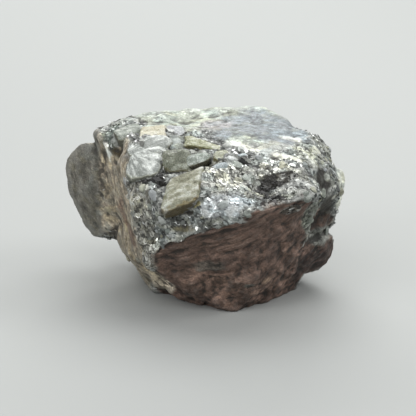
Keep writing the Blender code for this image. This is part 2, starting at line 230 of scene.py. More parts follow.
# Plates of mica on the skin: how many, half their length, how far they lean, each alone and together with
# their neighbours in clusters of this size, and the seed. Their rows run down the slope of the glittering
# face, and another way on the strip at the front left corner.
PLATE_COUNT = 8600
PLATE_REACH = 0.34
PLATE_LEAN = 0.2
CLUSTER_LEAN = 0.75
CLUSTER_CELL = 1.5
PLATE_SEED = 7
PLATE_ROWS = np.array([0.79, -0.45, -0.42])
STRIP_ROWS = np.array([0.21, -0.2, -0.95])

# How the plates differ: how far they turn from their rows, the spread and limits of their length, their
# slimness, half thickness and seat in the rock, and the turn and radius of their corners
ROW_SCATTER = 0.35
PLATE_SPREAD = 0.38
PLATE_LIMITS = (0.5, 2.4)
PLATE_SLIMNESS = (1.1, 2.6)
PLATE_HALF_THICKNESS = (0.03, 0.06)
PLATE_SEAT = (-0.06, 0.1)
CORNER_TURN = 0.2
CORNER_RADII = (0.75, 1.1)

# Rock that climbs the crystals' sides: how high, how far from them it starts, and the random cell and seed
COLLAR_HEIGHT = 0.6
COLLAR_REACH = 1.5
COLLAR_PATCHES = (1.8, 88)

# How high over the rock a crystal's sides lose their clinging mica, how many plates cling there, how much
# higher they climb for each millimetre of its thickness, from what thickness on, and their colour
CONTACT_RISE = (-0.25, 0.3)
CONTACT_PLATES = 480
CONTACT_LIFT = 0.36
CONTACT_THICKNESS = 3.3
CONTACT_COLOUR = (132, 134, 128)

# Rows of flakes: how far apart, how high they stand, how much darker they lie between, and the random seed
ROW_SPACING = 1.9
ROW_HEIGHT = 0.2
ROW_TONE = 0.42
ROW_SEED = 77

# Small angular grains on the skin: how many, half their size with its spread and limits, how many faces
# bound one and how far off they lie, how much it is pressed flat, sunk and drawn out, how much it takes the
# colour around it, the seed, the colours and the share of the grains in each
GRAIN_COUNT = 260
GRAIN_REACH = 0.5
GRAIN_SPREAD = 0.4
GRAIN_LIMITS = (0.5, 1.7)
GRAIN_FACES = 9
GRAIN_FACE_DISTANCES = (0.6, 1.0)
GRAIN_PRESS = 0.35
GRAIN_SINK = 0.1
GRAIN_STRETCH = 0.8
GRAIN_STAIN = 0.6
GRAIN_SEED = 19
GRAIN_TONES = ((206, 208, 202), (158, 156, 124), (128, 136, 126), (184, 190, 194))
GRAIN_SHARES = (0.3, 0.25, 0.3, 0.15)

# Crystals: name, finish, how crisp their edges are, where their growth bands spread from (along and across,
# in their own frame), then as in the solid: middle, direction along, direction out of the rock, length,
# width, thickness, taper and lean.
STRAIGHT = (-1000.0, 0.0)
CRYSTALS = [
    ("olive crystal bar", "olive", 34.0, STRAIGHT,
     (-4.0, -13.7, 28.4), (0.94, 0.15, 0.31), (-0.17, -0.59, 0.79), 8.7, 7.2, 4.2, 0.07, 0.53),
    ("olive ridge crystal", "ridge", 14.0, STRAIGHT,
     (0.5, -3.2, 34.7), (0.97, -0.23, -0.06), (-0.05, -0.42, 0.91), 8.8, 2.9, 2.8, -0.9, -0.16),
    ("upper leaf of the fan", "mica", 13.0, (-4.2, -2.6),
     (-11.6, -4.0, 34.6), (0.95, -0.2, 0.05), (-0.17, -0.45, 0.88), 7.8, 5.9, 3.6, 0.2, 0.2),
    ("lower leaf of the fan", "mica", 13.0, (-4.0, 3.8),
     (-12.0, -7.0, 32.0), (0.95, 0.0, 0.1), (-0.15, -0.72, 0.68), 7.4, 7.3, 4.2, 0.2, 0.3),
    ("grey green mass", "beryl", 8.0, STRAIGHT,
     (-5.6, -7.0, 32.4), (0.98, 0.1, 0.1), (-0.05, -0.75, 0.66), 6.4, 6.6, 4.4, 0.0, -0.1),
    ("glassy lens", "glassy", 6.0, STRAIGHT,
     (-1.2, -7.6, 33.3), (0.95, 0.23, 0.21), (0.0, -0.8, 0.6), 5.2, 2.8, 3.0, -0.2, 0.0),
    ("blue grey grain", "quartz", 6.0, STRAIGHT,
     (3.5, -9.2, 31.9), (0.8, 0.1, 0.3), (0.1, -0.7, 0.7), 3.6, 2.6, 3.0, 0.0, 0.0),
    ("yellow green grain", "yellow", 9.0, STRAIGHT,
     (3.8, -6.6, 33.5), (0.8, 0.3, -0.2), (0.1, -0.6, 0.79), 3.4, 3.0, 3.0, 0.0, 0.0),
    ("pale grain", "quartz", 7.0, STRAIGHT,
     (7.8, -6.4, 33.3), (0.95, 0.2, 0.1), (0.1, -0.7, 0.7), 3.2, 2.0, 2.6, 0.0, 0.0),
    ("cream feldspar grain", "feldspar", 34.0, STRAIGHT,
     (-10.6, 0.4, 36.0), (0.98, 0.1, 0.1), (-0.1, -0.3, 0.95), 5.4, 4.8, 3.6, 0.0, 0.1),
    ("lilac grey grain", "lilac", 14.0, STRAIGHT,
     (-6.2, 1.6, 35.8), (0.95, -0.2, 0.0), (-0.05, -0.4, 0.91), 4.4, 4.4, 3.0, 0.0, 0.0),
    ("grey green knob", "knob", 12.0, STRAIGHT,
     (-16.0, 1.9, 36.0), (0.85, 0.45, 0.2), (-0.35, -0.4, 0.85), 6.0, 5.0, 3.2, 0.0, 0.0),
]
CRYSTAL_SECTION = (
    (0.5, 0.3), (0.38, 0.5), (-0.38, 0.5), (-0.5, 0.3),
    (-0.5, -0.3), (-0.38, -0.5), (0.38, -0.5), (0.5, -0.3),
)
CRYSTAL_SECTIONS = ((-0.5, 0.78), (-0.39, 1.0), (0.39, 1.0), (0.5, 0.78))
CRYSTAL_UNEVENNESS = 0.07
CRYSTAL_GRID_COUNT = 48

# Chips of a crystal's skin, its growth bands and its fine relief: cells, tilts and seeds, then heights
BROAD_CRYSTAL_CHIPS = (2.8, 1.0, 81)
SMALL_CRYSTAL_CHIPS = (1.2, 1.0, 82)
BROAD_BANDS = (0.7, 83)
FINE_BANDS = (0.3, 85)
CRYSTAL_GRAIN = (0.6, 84)
BAND_HEIGHT = 0.05
CRYSTAL_GRAIN_HEIGHT = 0.03

# How often neighbours are averaged for the skin's broad normals, and for its near and far hollows, how much
# the far ones count, and the range of depth that is shaded, from the highest edges to the deepest hollows
NORMAL_ROUNDS = 12
HOLLOW_ROUNDS = (8, 40)
FAR_HOLLOW_SHARE = 0.35
DEPTH_RANGE = 0.5

# Faces of the rock: the top edge of the brown slip face as places along X and heights, and the line down the
# speckled strip at the front left corner
BROWN_EDGE = ((-12.2, -9.0, 4.3, 11.6, 22.0, 27.0), (11.0, 17.0, 23.4, 26.6, 28.2, 18.0))
CORNER_LINE = ((-14.6, -10.4, 30.5), (-10.6, -14.2, 12.5))

# Looks of the faces: screen colour, then how much of them is glittering flakes, fine layers and gloss
BARE_SCHIST = ((126, 129, 125), 0.75, 0.3, 0.35)
BROWN_BACK = ((97, 81, 73), 0.5, 0.7, 0.3)
LEFT_FACE = ((156, 145, 127), 0.38, 0.45, 0.2)
LOBE = ((106, 103, 94), 0.3, 0.35, 0.1)
CORNER_STRIP = ((164, 163, 154), 1.0, 0.1, 0.5)
BROWN_FACE = ((104, 84, 74), 0.1, 0.0, 0.25)

# Tones of the rock: how far they drift, and how much more on the brown face, how far the grains differ, the
# palest and darkest ones from the rest, the lean of some to olive or to blue, and the painted shade by a
# crystal
TONE_DRIFT = 0.1
BROWN_DRIFT = 0.16
GRAIN_CONTRAST = 0.6
EXTREME_TONE = 0.45
OLIVE_TINT = np.array([0.0, -0.01, -0.09])
BLUE_TINT = np.array([-0.05, 0.0, 0.02])
CRYSTAL_SHADE = 0.4


def linear(red, green, blue):
    """A colour given from 0 to 255 as seen on a screen, as linear light."""
    share = np.array([red, green, blue]) / 255.0
    return tuple(np.where(share <= 0.04045, share / 12.92, ((share + 0.055) / 1.055) ** 2.4))


# Mineral patches and some painted shadow, later ones over earlier ones: name, middle, half widths, screen
# colour, then how much of the patch is glittering flakes, fine layers and gloss.
PATCHES = [
    ("blue grey upper back", (4.0, 12.0, 38.0), (26.0, 8.0, 4.5), (152, 157, 148), 0.32, 0.1, 0.12),
    ("grey cleavage face", (13.0, 4.0, 37.0), (11.0, 10.0, 5.0), (128, 134, 136), 0.3, 0.03, 0.25),
    ("pale grey green top", (-5.0, 7.0, 38.0), (9.0, 7.0, 3.0), (164, 169, 156), 0.3, 0.1, 0.12),
    ("grey green hollow at the back", (-11.5, 10.0, 38.5), (4.0, 4.0, 2.0), (150, 156, 146), 0.45, 0.1, 0.2),
    ("lilac grey lens on the top", (2.5, 5.0, 38.0), (4.5, 3.0, 2.0), (152, 151, 150), 0.3, 0.1, 0.3),
    ("tan foot of the left face", (-16.8, -2.0, 19.5), (2.2, 3.6, 4.2), (134, 115, 99), 0.3, 0.5, 0.2),
    ("brown foot of the corner", (-15.4, -6.0, 16.6), (1.6, 3.2, 3.2), (118, 100, 86), 0.25, 0.4, 0.2),
    ("smooth slope by the grains", (-5.4, -1.8, 35.2), (3.0, 2.6, 1.8), (148, 154, 149), 0.12, 0.05, 0.5),
    ("dark speckled top left", (-19.5, 1.5, 35.6), (3.8, 5.0, 4.0), (104, 110, 102), 0.7, 0.1, 0.3),
    ("pale slope behind the ridge", (12.0, -3.0, 35.6), (9.0, 2.6, 1.6), (164, 167, 161), 0.4, 0.2, 0.4),
    ("white patch on the shoulder", (18.5, 1.5, 35.8), (3.0, 1.3, 1.2), (194, 196, 191), 0.35, 0.2, 0.3),
    ("white block on the shoulder", (24.4, -0.2, 33.0), (1.4, 1.6, 0.9), (222, 224, 220), 0.2, 0.1, 0.5),
    ("speckled right shoulder", (22.5, -3.0, 33.0), (4.5, 5.0, 3.0), (166, 169, 159), 0.6, 0.2, 0.4),
    ("glittering upper front", (9.0, -12.0, 31.0), (15.0, 6.5, 5.0), (183, 184, 176), 1.0, 0.1, 0.6),
    ("smoother flakes at the right", (19.0, -12.0, 30.0), (4.0, 3.0, 3.4), (168, 170, 166), 0.6, 0.2, 0.5),
    ("dark crumbs under the fan", (-11.0, -10.6, 31.0), (4.2, 2.2, 1.5), (70, 70, 64), 0.9, 0.1, 0.5),
    ("blue white flakes", (4.5, -17.8, 26.9), (7.0, 2.8, 2.7), (174, 179, 180), 0.6, 0.2, 0.7),
    ("dark pocket", (13.2, -12.6, 29.9), (3.1, 2.5, 1.7), (42, 40, 37), 0.8, 0.1, 0.5),
    # Painted shadow beside the raised grains
    ("painted shadow beside the grains", (8.3, -8.2, 32.7), (2.6, 1.2, 0.8), (56, 54, 50), 0.6, 0.1, 0.4),
    ("pale grey green slope", (9.0, -1.6, 36.0), (4.0, 2.0, 1.4), (150, 156, 146), 0.4, 0.2, 0.4),
    # Painted shadow under the crystal bar, on olive rock
    ("olive with painted shadow under the bar", (-5.6, -16.6, 25.3), (4.2, 1.6, 1.2), (60, 52, 32), 0.15, 0.2, 0.4),
    ("yellow olive patch by the bar", (-1.6, -16.7, 27.2), (1.5, 1.1, 1.3), (156, 148, 108), 0.1, 0.1, 0.5),
    ("white vein under the bar", (-4.3, -17.4, 23.8), (1.3, 1.1, 1.7), (198, 194, 182), 0.2, 0.1, 0.4),
    ("olive stain over the brown face", (-5.0, -17.2, 21.8), (3.6, 1.6, 1.0), (112, 108, 88), 0.4, 0.2, 0.3),
    ("rusty pocket", (-18.9, -0.8, 33.0), (2.7, 3.0, 2.3), (64, 55, 34), 0.25, 0.1, 0.4),
    ("silver sheet on the back", (14.0, 21.0, 22.0), (8.0, 5.0, 7.0), (150, 154, 152), 0.9, 0.2, 0.7),
    ("pale vein on the back", (-2.0, 25.0, 20.0), (7.0, 4.0, 2.0), (182, 184, 174), 0.3, 0.2, 0.4),
    ("olive beryl in the back", (-13.0, 21.5, 15.0), (4.5, 4.0, 4.5), (136, 138, 112), 0.1, 0.3, 0.5),
]
# Veins and seams, and a painted shadow: name, ends, half width, screen colour, then the same shares
VEINS = [
    ("white ridge line", (6.5, -3.6, 36.1), (20.1, -6.8, 33.5), 0.95, (208, 210, 203), 0.35, 0.1, 0.4),
    ("pale lip in front", (0.4, -18.2, 25.4), (6.8, -20.0, 26.3), 0.8, (190, 194, 194), 0.4, 0.1, 0.6),
    # Painted shadow beside the raised grains
    ("painted shadow beside the grains", (7.6, -8.0, 33.0), (10.8, -9.6, 32.6), 0.7, (40, 38, 34), 0.6, 0.1, 0.4),
    ("dark row above the pocket", (14.2, -10.6, 31.0), (18.4, -10.8, 31.8), 0.6, (48, 46, 42), 0.7, 0.1, 0.5),
    ("white rim of the pocket", (-21.3, 2.4, 33.9), (-20.3, 0.9, 31.6), 0.8, (222, 221, 211), 0.1, 0.1, 0.5),
    ("tan rim of the pocket", (-19.7, 0.1, 31.4), (-17.8, -1.8, 31.5), 0.7, (176, 165, 142), 0.2, 0.1, 0.4),
    ("pale corner edge", (-15.1, -10.3, 29.5), (-14.9, -9.0, 16.5), 0.45, (182, 179, 168), 0.3, 0.1, 0.4),
    ("brown seam in front", (12.6, -18.9, 27.6), (20.5, -16.4, 29.2), 0.7, (78, 62, 54), 0.7, 0.1, 0.3),
    ("seam left of the pocket", (8.9, -13.2, 29.8), (13.0, -14.6, 28.6), 0.8, (44, 42, 38), 0.9, 0.1, 0.5),
    ("seam below the pocket", (11.8, -16.8, 28.2), (16.4, -16.2, 28.3), 0.7, (48, 46, 42), 0.9, 0.1, 0.5),
    ("seam right of the pocket", (16.0, -12.4, 30.2), (19.4, -11.6, 31.4), 0.65, (50, 48, 43), 0.9, 0.1, 0.5),
    ("dark crumbs by the fan", (-12.6, -10.6, 30.3), (-8.8, -12.0, 29.9), 1.0, (46, 45, 40), 0.9, 0.1, 0.5),
]
# Patches that lie over the brown slip face and the right end, some of them painted shade: as above
FRONT_PATCHES = [
    ("paler lower front", (6.0, -12.0, 6.5), (14.0, 6.0, 4.6), (124, 101, 89), 0.1, 0.2, 0.2),
    ("grey flakes on the brown face", (19.0, -16.6, 25.6), (3.2, 1.6, 1.3), (116, 110, 101), 0.8, 0.2, 0.3),
    ("blue grey spots on the brown face", (1.0, -14.0, 12.5), (4.2, 2.2, 1.8), (92, 84, 76), 0.2, 0.2, 0.3),
    ("tan patch low on the brown face", (5.6, -12.0, 9.8), (3.2, 2.2, 2.4), (118, 96, 83), 0.1, 0.3, 0.2),
    ("grey knob", (9.2, -11.6, 7.6), (1.8, 2.0, 1.5), (100, 98, 90), 0.3, 0.2, 0.3),
    # Painted shade standing for a hole between the knobs
    ("painted shade of a hole", (12.0, -11.0, 7.4), (0.8, 1.2, 1.2), (36, 31, 28), 0.1, 0.2, 0.2),
    ("tan knob", (13.8, -10.6, 7.6), (1.5, 1.6, 1.2), (138, 116, 98), 0.1, 0.2, 0.2),
    ("dark brown hollow low in front", (-1.5, -8.6, 4.6), (3.6, 2.4, 1.6), (58, 46, 40), 0.1, 0.4, 0.2),
    ("tan crest at the lower left", (-8.6, -8.6, 8.6), (2.8, 2.4, 0.9), (142, 114, 98), 0.1, 0.5, 0.2),
    ("grey green patch low on the left", (-8.8, -3.4, 4.6), (4.2, 4.8, 3.6), (202, 190, 171), 0.2, 0.2, 0.3),
    ("grey green column on the right", (22.9, -9.6, 21.6), (1.9, 8.0, 7.6), (126, 130, 119), 0.55, 0.6, 0.4),
    ("pale patch low on the right", (25.4, -1.8, 14.2), (3.6, 4.6, 2.4), (150, 152, 144), 0.3, 0.2, 0.3),
    # Painted shade in the hollows of the right end
    ("painted shade in the right end", (26.6, -4.2, 22.0), (1.9, 5.0, 6.8), (50, 47, 40), 0.15, 0.2, 0.4),
    ("painted shade high in the right end", (25.3, -6.8, 28.4), (2.2, 3.8, 3.8), (38, 37, 32), 0.15, 0.2, 0.4),
    ("grey block in the dark end", (26.3, -5.9, 29.4), (0.9, 1.6, 1.0), (150, 154, 146), 0.2, 0.2, 0.4),
    ("white spot in the dark end", (28.0, -4.4, 24.4), (0.7, 1.8, 1.0), (206, 207, 198), 0.1, 0.2, 0.4),
    ("brown knob in the dark end", (26.8, -2.4, 18.2), (1.6, 3.0, 1.6), (62, 47, 38), 0.1, 0.2, 0.3),
    ("grey green rim on the right", (30.4, 1.0, 26.0), (2.0, 7.5, 9.5), (204, 207, 195), 0.4, 0.2, 0.3),
    ("dark low right lump", (26.0, 0.5, 7.5), (7.5, 9.0, 5.6), (74, 56, 50), 0.1, 0.5, 0.2),
]


# Random fields


def hashed(cells, seed):
    """One pseudo-random number from 0 to 1 for each whole-number cell of a lattice."""
    x, y, z = (cells[..., axis].astype(np.int64) for axis in range(3))
    mixed = (x * 374761393 + y * 668265263 + z * 1440662683 + seed * 974634777) & 0xFFFFFFFF
    mixed = ((mixed ^ (mixed >> 13)) * 1274126177) & 0xFFFFFFFF
    mixed = ((mixed ^ (mixed >> 16)) * 668265263) & 0xFFFFFFFF
    return (mixed ^ (mixed >> 15)) / float(0xFFFFFFFF)


def smooth_noise(points, cell, seed):
    """Random values on a lattice, blended smoothly between its corners, from -1 to 1."""
    scaled = points / cell
    base = np.floor(scaled)
    share = scaled - base
    share = share * share * (3.0 - 2.0 * share)
    total = np.zeros(len(points))
    for corner in np.ndindex(2, 2, 2):
        offset = np.array(corner)
        weight = np.prod(np.where(offset == 1, share, 1.0 - share), axis=1)
        total += weight * hashed(base + offset, seed)
    return 2.0 * total - 1.0


def highest_planes(points, seed):
    """The highest, at each point, of tilted and domed planes, one about each centre of a jittered lattice."""
    base = np.floor(points)
    highest = np.full(len(points), -np.inf)
    for step in np.ndindex(3, 3, 3):
        lattice = base + np.array(step) - 1
        jitter = np.stack([hashed(lattice, seed + axis) for axis in range(3)], axis=1)
        away = points - lattice - jitter
        distance = np.einsum("ij,ij->i", away, away)
        lean = np.stack([hashed(lattice, seed + 7 + axis) for axis in range(3)], axis=1) - 0.5
        lift = CHIP_LIFT * (hashed(lattice, seed + 17) - 0.5)
        plane = 2.0 * np.einsum("ij,ij->i", away, lean) + lift - CHIP_BEND * distance
        highest = np.maximum(highest, plane)
    return highest


def chips(points, cell, tilt, seed):
    """Flat chips that meet in sharp ridges and valleys: one set of highest planes less another."""
    return cell * tilt * (highest_planes(points / cell, seed) - highest_planes(points / cell, seed + 50))


def grains(points, cell, seed):
    """Three random numbers from 0 to 1 that are the same all over each grain: those of the nearest centre."""
    scaled = points / cell
    base = np.floor(scaled)
    nearest = np.full(len(points), np.inf)
    values = np.zeros((len(points), 3))
    for step in np.ndindex(3, 3, 3):
        lattice = base + np.array(step) - 1
        jitter = np.stack([hashed(lattice, seed + axis) for axis in range(3)], axis=1)
        distance = np.sum((scaled - lattice - jitter) ** 2, axis=1)
        closer = distance < nearest
        nearest = np.where(closer, distance, nearest)
        drawn = np.stack([hashed(lattice, seed + 7 + axis) for axis in range(3)], axis=1)
        values = np.where(closer[:, None], drawn, values)
    return values


def layers(points, normal, spacing, step, riser, wave_height, wave_cell, seed):
    """Steps of layers: a soft staircase along the normal across the layers, bent by a slow wave."""
    across = points @ normal + wave_height * smooth_noise(points, wave_cell, seed)
    turn = across / spacing
    stair = hashed(np.repeat(np.floor(turn)[:, None], 3, axis=1), seed)
    following = hashed(np.repeat(np.floor(turn)[:, None] + 1, 3, axis=1), seed)
    share = np.clip((turn - np.floor(turn) - 1.0 + riser) / riser, 0.0, 1.0)
    return step * (2.0 * (stair + share * (following - stair)) - 1.0)


def eased(values, low, high):
    """A smooth step from 0 at low to 1 at high."""
    share = np.clip((values - low) / (high - low), 0.0, 1.0)
    return share * share * (3.0 - 2.0 * share)


# Surfaces


def cube_sphere(count):
    """Directions on a sphere from the grids of a cube's six faces, widened by the tangent, and the quads."""
    steps = np.arange(count + 1)
    across, up = np.meshgrid(steps, steps, indexing="ij")
    corner = np.arange(count)
    first, second = np.meshgrid(corner, corner, indexing="ij")
    lattice, quads = [], []
    for axis in range(3):
        for side in (0, count):
            face = np.zeros((count + 1, count + 1, 3), np.int64)
            face[..., axis] = side
            face[..., (axis + 1) % 3] = across
            face[..., (axis + 2) % 3] = up
            start = len(lattice) * (count + 1) ** 2
            ring = [(first, second), (first + 1, second), (first + 1, second + 1), (first, second + 1)]
            if side == 0:
                ring.reverse()
            quads.append(np.stack([start + a * (count + 1) + b for a, b in ring], axis=-1).reshape(-1, 4))
            lattice.append(face.reshape(-1, 3))
    lattice = np.concatenate(lattice)
    keys = (lattice[:, 0] * (count + 1) + lattice[:, 1]) * (count + 1) + lattice[:, 2]
    _, kept, places = np.unique(keys, return_index=True, return_inverse=True)
    spread = np.tan(0.25 * math.pi * (2.0 * lattice[kept] / count - 1.0))
    directions = spread / np.linalg.norm(spread, axis=1, keepdims=True)
    return directions, places.ravel()[np.concatenate(quads)]


def planes_of(corners, centre, flat_angle):
    """Outward normals of the convex block with these corners, and each face's distance from centre."""
    shape = bmesh.new()
    for corner in corners:
        shape.verts.new(Vector(np.array(corner) - centre))
    bmesh.ops.convex_hull(shape, input=shape.verts)
    bmesh.ops.delete(shape, geom=[v for v in shape.verts if not v.link_faces], context="VERTS")
    bmesh.ops.dissolve_limit(
        shape, angle_limit=math.radians(flat_angle), verts=shape.verts, edges=shape.edges
    )
    bmesh.ops.recalc_face_normals(shape, faces=shape.faces)
    shape.normal_update()
    normals = np.array([face.normal for face in shape.faces])
    middles = np.array([face.calc_center_median() for face in shape.faces])
    shape.free()
    return normals, np.einsum("ij,ij->i", normals, middles)


def reach_within(directions, normals, distances, sharpness):
    """Distance to the skin of a convex block: the p-norm of its faces' reciprocal distances, inverted."""
    steepness = np.clip(directions @ normals.T / distances, 0.0, None)
    largest = steepness.max(axis=1, keepdims=True)
    total = ((steepness / largest) ** sharpness).sum(axis=1)
    return 1.0 / (largest[:, 0] * total ** (1.0 / sharpness))


def reach_of_stone(directions):
    """The blocks joined: the p-norm of their reaches, which blends them softly where they meet."""
    reaches = np.stack([
        reach_within(directions, *planes_of(block, HEART, FLAT_ANGLE), EDGE_SHARPNESS) for block in BLOCKS
    ], axis=1)
    largest = reaches.max(axis=1, keepdims=True)
    total = ((reaches / largest) ** JOIN_SHARPNESS).sum(axis=1)
    return largest[:, 0] * total ** (1.0 / JOIN_SHARPNESS)


def away_from_line(points, start, end):
    """Distance of the points from the straight piece of line between start and end."""
    start, end = np.array(start), np.array(end)
    along = np.clip((points - start) @ (end - start) / np.sum((end - start) ** 2), 0.0, 1.0)
    return np.linalg.norm(points - start - along[:, None] * (end - start), axis=1)


def lumps_and_grooves(points):
    """Bell-shaped lumps and pits about their places, and grooves along their lines."""
    height = np.zeros(len(points))
    for _, place, radius, rise in LUMPS:
        away = np.linalg.norm(points - np.array(place), axis=1)
        height += rise * np.exp(-((away / radius) ** 4))
    for _, start, end, half_width, depth in GROOVES:
        height -= depth * np.exp(-((away_from_line(points, start, end) / half_width) ** 2))
    return height


def roughness_share(points):
    """How much of the chips stays at each point: less on the smoother faces."""
    share = np.ones(len(points))
    for _, place, radius, kept in CALM_FACES:
        away = np.linalg.norm(points - np.array(place), axis=1)
        share *= 1.0 - (1.0 - kept) * np.exp(-((away / radius) ** 4))
    return share


def normals_of(points, quads):
    """Unit normals at the points: the sum of the crossed diagonals of the quads around each."""
    crossed = np.cross(points[quads[:, 2]] - points[quads[:, 0]], points[quads[:, 3]] - points[quads[:, 1]])
    total = np.zeros_like(points)
    for corner in range(4):
        for axis in range(3):
            total[:, axis] += np.bincount(quads[:, corner], crossed[:, axis], len(points))
    return total / np.linalg.norm(total, axis=1, keepdims=True)


def spread_out(values, quads, rounds):
    """Values at the points averaged with their neighbours along the quads' edges, several times over."""
    first = quads.ravel()
    second = np.roll(quads, -1, axis=1).ravel()
    counts = np.bincount(first, minlength=len(values)).astype(float)[:, None]
    values = values.reshape(len(values), -1)
    for _ in range(rounds):
        sums = np.stack([
            np.bincount(first, values[second, column], len(values)) for column in range(values.shape[1])
        ], axis=1)
        values = 0.5 * values + 0.5 * sums / counts
    return values


def brown_share(points, normals):
    """Where the brown slip face is: below the climbing front edge, on the skin that faces the front."""
    edge = np.interp(points[:, 0], *BROWN_EDGE)
    ragged = 1.1 * smooth_noise(points, 3.4, 61) + 0.6 * smooth_noise(points, 1.1, 62)
    below = eased(edge + ragged - points[:, 2], -0.2, 0.3)
    facing = eased(-normals[:, 1] + 0.25 * smooth_noise(points, 5.0, 63), 0.1, 0.35)
    right_of_strip = eased(points[:, 0] + 1.2 * smooth_noise(points, 3.0, 64), -11.0, -9.4)
    return below * facing * right_of_strip


def left_face_share(points, normals):
    """Where the striated tan face is: on the left, facing left, in front of the lobe's root."""
    facing = eased(-normals[:, 0] + 0.15 * smooth_noise(points, 3.0, 66), 0.3, 0.55)
    return facing * eased(-points[:, 0], 10.5, 12.5) * eased(points[:, 0], -24.5, -22.5)


def lobe_share(points):
    """Where the smooth grey brown lobe is: past the lobe's root on the left."""
    return eased(-points[:, 0] + 0.6 * smooth_noise(points, 3.0, 67), 22.4, 23.6)


def corner_strip_share(points):
    """Where the speckled corner face is: near the line down the stone's front left corner."""
    away = away_from_line(points, *CORNER_LINE)
    return 1.0 - eased(away + 0.9 * smooth_noise(points, 2.0, 68), 2.4, 3.8)


def crystal_frame(along, outward):
    """A crystal's own axes as rows: along it, across it and out of the rock."""
    x_axis = np.array(along) / np.linalg.norm(along)
    z_axis = np.array(outward) - np.dot(outward, x_axis) * x_axis
    z_axis /= np.linalg.norm(z_axis)
    return np.stack([x_axis, np.cross(z_axis, x_axis), z_axis])


def beside_crystals(points):
    """How far outside the nearest crystal each point lies, in millimetres, and below zero inside it."""
    nearest = np.full(len(points), 9.0)
    for _, _, _, _, middle, along, outward, length, width, thickness, taper, lean in CRYSTALS:
        local = (points - np.array(middle)) @ crystal_frame(along, outward).T
        local[:, 0] -= lean * local[:, 1]
        swell = 1.0 + taper * np.clip(local[:, 0] / length, -0.5, 0.5)
        shares = np.abs(local) / (0.5 * np.array([length, width, thickness]))
        shares[:, 1:] /= swell[:, None]
        size = np.sum(shares**6, axis=1) ** (1.0 / 6.0)
        nearest = np.minimum(nearest, (size - 1.0) * 0.5 * min(length, width))
    return nearest


def minerals(points, normals):
    """Colour of the skin, and its shares of flakes, layers, gloss and slip lines, patch over ragged patch."""
    ragged = 0.28 * smooth_noise(points, 3.4, 71) + 0.18 * smooth_noise(points, 1.2, 72)
    drift = smooth_noise(points, 7.0, 73)
    drawn = grains(points * (0.55, 1.0, 1.0) + 0.35 * ragged[:, None], 1.5, 75)
    colour, *shares = BARE_SCHIST
    look = np.tile(np.array([*linear(*colour), *shares]), (len(points), 1))
    brown_back = eased(smooth_noise(points, 12.0, 74) + 0.3 * ragged, 0.15, 0.3)
    brown_back *= eased(points[:, 1], 8.0, 14.0)
    slip = brown_share(points, normals)

    def patches(listed):
        for _, middle, half_widths, colour, *shares in listed:
            away = np.linalg.norm((points - np.array(middle)) / np.array(half_widths), axis=1)
            yield (1.0 - eased(away + ragged, 0.72, 1.1), colour, *shares)

    def veins(listed):
        for _, start, end, half_width, colour, *shares in listed:
            away = away_from_line(points, start, end) / half_width
            yield (1.0 - eased(away + 2.2 * ragged, 0.6, 1.4), colour, *shares)

    covers = [
        (brown_back, *BROWN_BACK),
        (left_face_share(points, normals), *LEFT_FACE),
        (lobe_share(points), *LOBE),
        (corner_strip_share(points), *CORNER_STRIP),
        *patches(PATCHES),
        *veins(VEINS),
        (slip, *BROWN_FACE),
        *patches(FRONT_PATCHES),
    ]
    for share, colour, *shares in covers:
        patch = np.array([*linear(*colour), *shares])
        look += share[:, None] * (patch - look)
    # Grains differ in tone, and some lean to olive or to blue
    calm = (1.0 - 0.75 * np.maximum(slip, lobe_share(points))) * (0.25 + 0.75 * eased(look[:, 3], 0.2, 0.7))
    tone = 1.0 + (TONE_DRIFT + BROWN_DRIFT * slip) * drift
    tone = tone * (1.0 + calm * (drawn[:, 0] - 0.5) * GRAIN_CONTRAST)
    palest, darkest = eased(drawn[:, 2], 0.84, 0.88), 1.0 - eased(drawn[:, 2], 0.1, 0.14)
    tone *= 1.0 + calm * (EXTREME_TONE * palest - EXTREME_TONE * darkest)
    tint = OLIVE_TINT * eased(drawn[:, 1], 0.72, 0.76)[:, None]
    tint = tint + BLUE_TINT * (1.0 - eased(drawn[:, 1], 0.24, 0.28))[:, None]
    # Painted shade on the rock beside the crystals, then darker lanes between the rows of flakes
    shade = 1.0 - CRYSTAL_SHADE * (1.0 - eased(beside_crystals(points) + 0.3 * ragged, 0.1, 0.7))
    shade *= 1.0 + ROW_TONE * look[:, 3] * in_rows(points)
    look[:, :3] *= (tone * shade)[:, None] * (1.0 + (1.0 - 0.7 * slip[:, None]) * tint)
    return np.column_stack([np.clip(look, 0.0, 1.0), slip])


def in_rows(points):
    """Noise from -1 to 1 that is long along the rows of flakes and short across them."""
    direction = PLATE_ROWS / np.linalg.norm(PLATE_ROWS)
    squeezed = points - 0.7 * (points @ direction)[:, None] * direction
    return smooth_noise(squeezed, ROW_SPACING, ROW_SEED)


def reach_of_solid(directions):
    """Distance from the heart to the skin: the blocks, then lumps, chips, a slow swell and layer steps."""
    reach = reach_of_stone(directions)
    bare = HEART + directions * reach[:, None]
    relief = lumps_and_grooves(bare)
    relief += roughness_share(bare) * (chips(bare, *LARGE_CHIPS) + chips(bare, *SMALL_CHIPS))
    relief += SWELL_HEIGHT * smooth_noise(bare, SWELL_CELL, SWELL_SEED)
    relief += roughness_share(bare) * layers(bare, *BROAD_LAYERS)
    return reach + relief


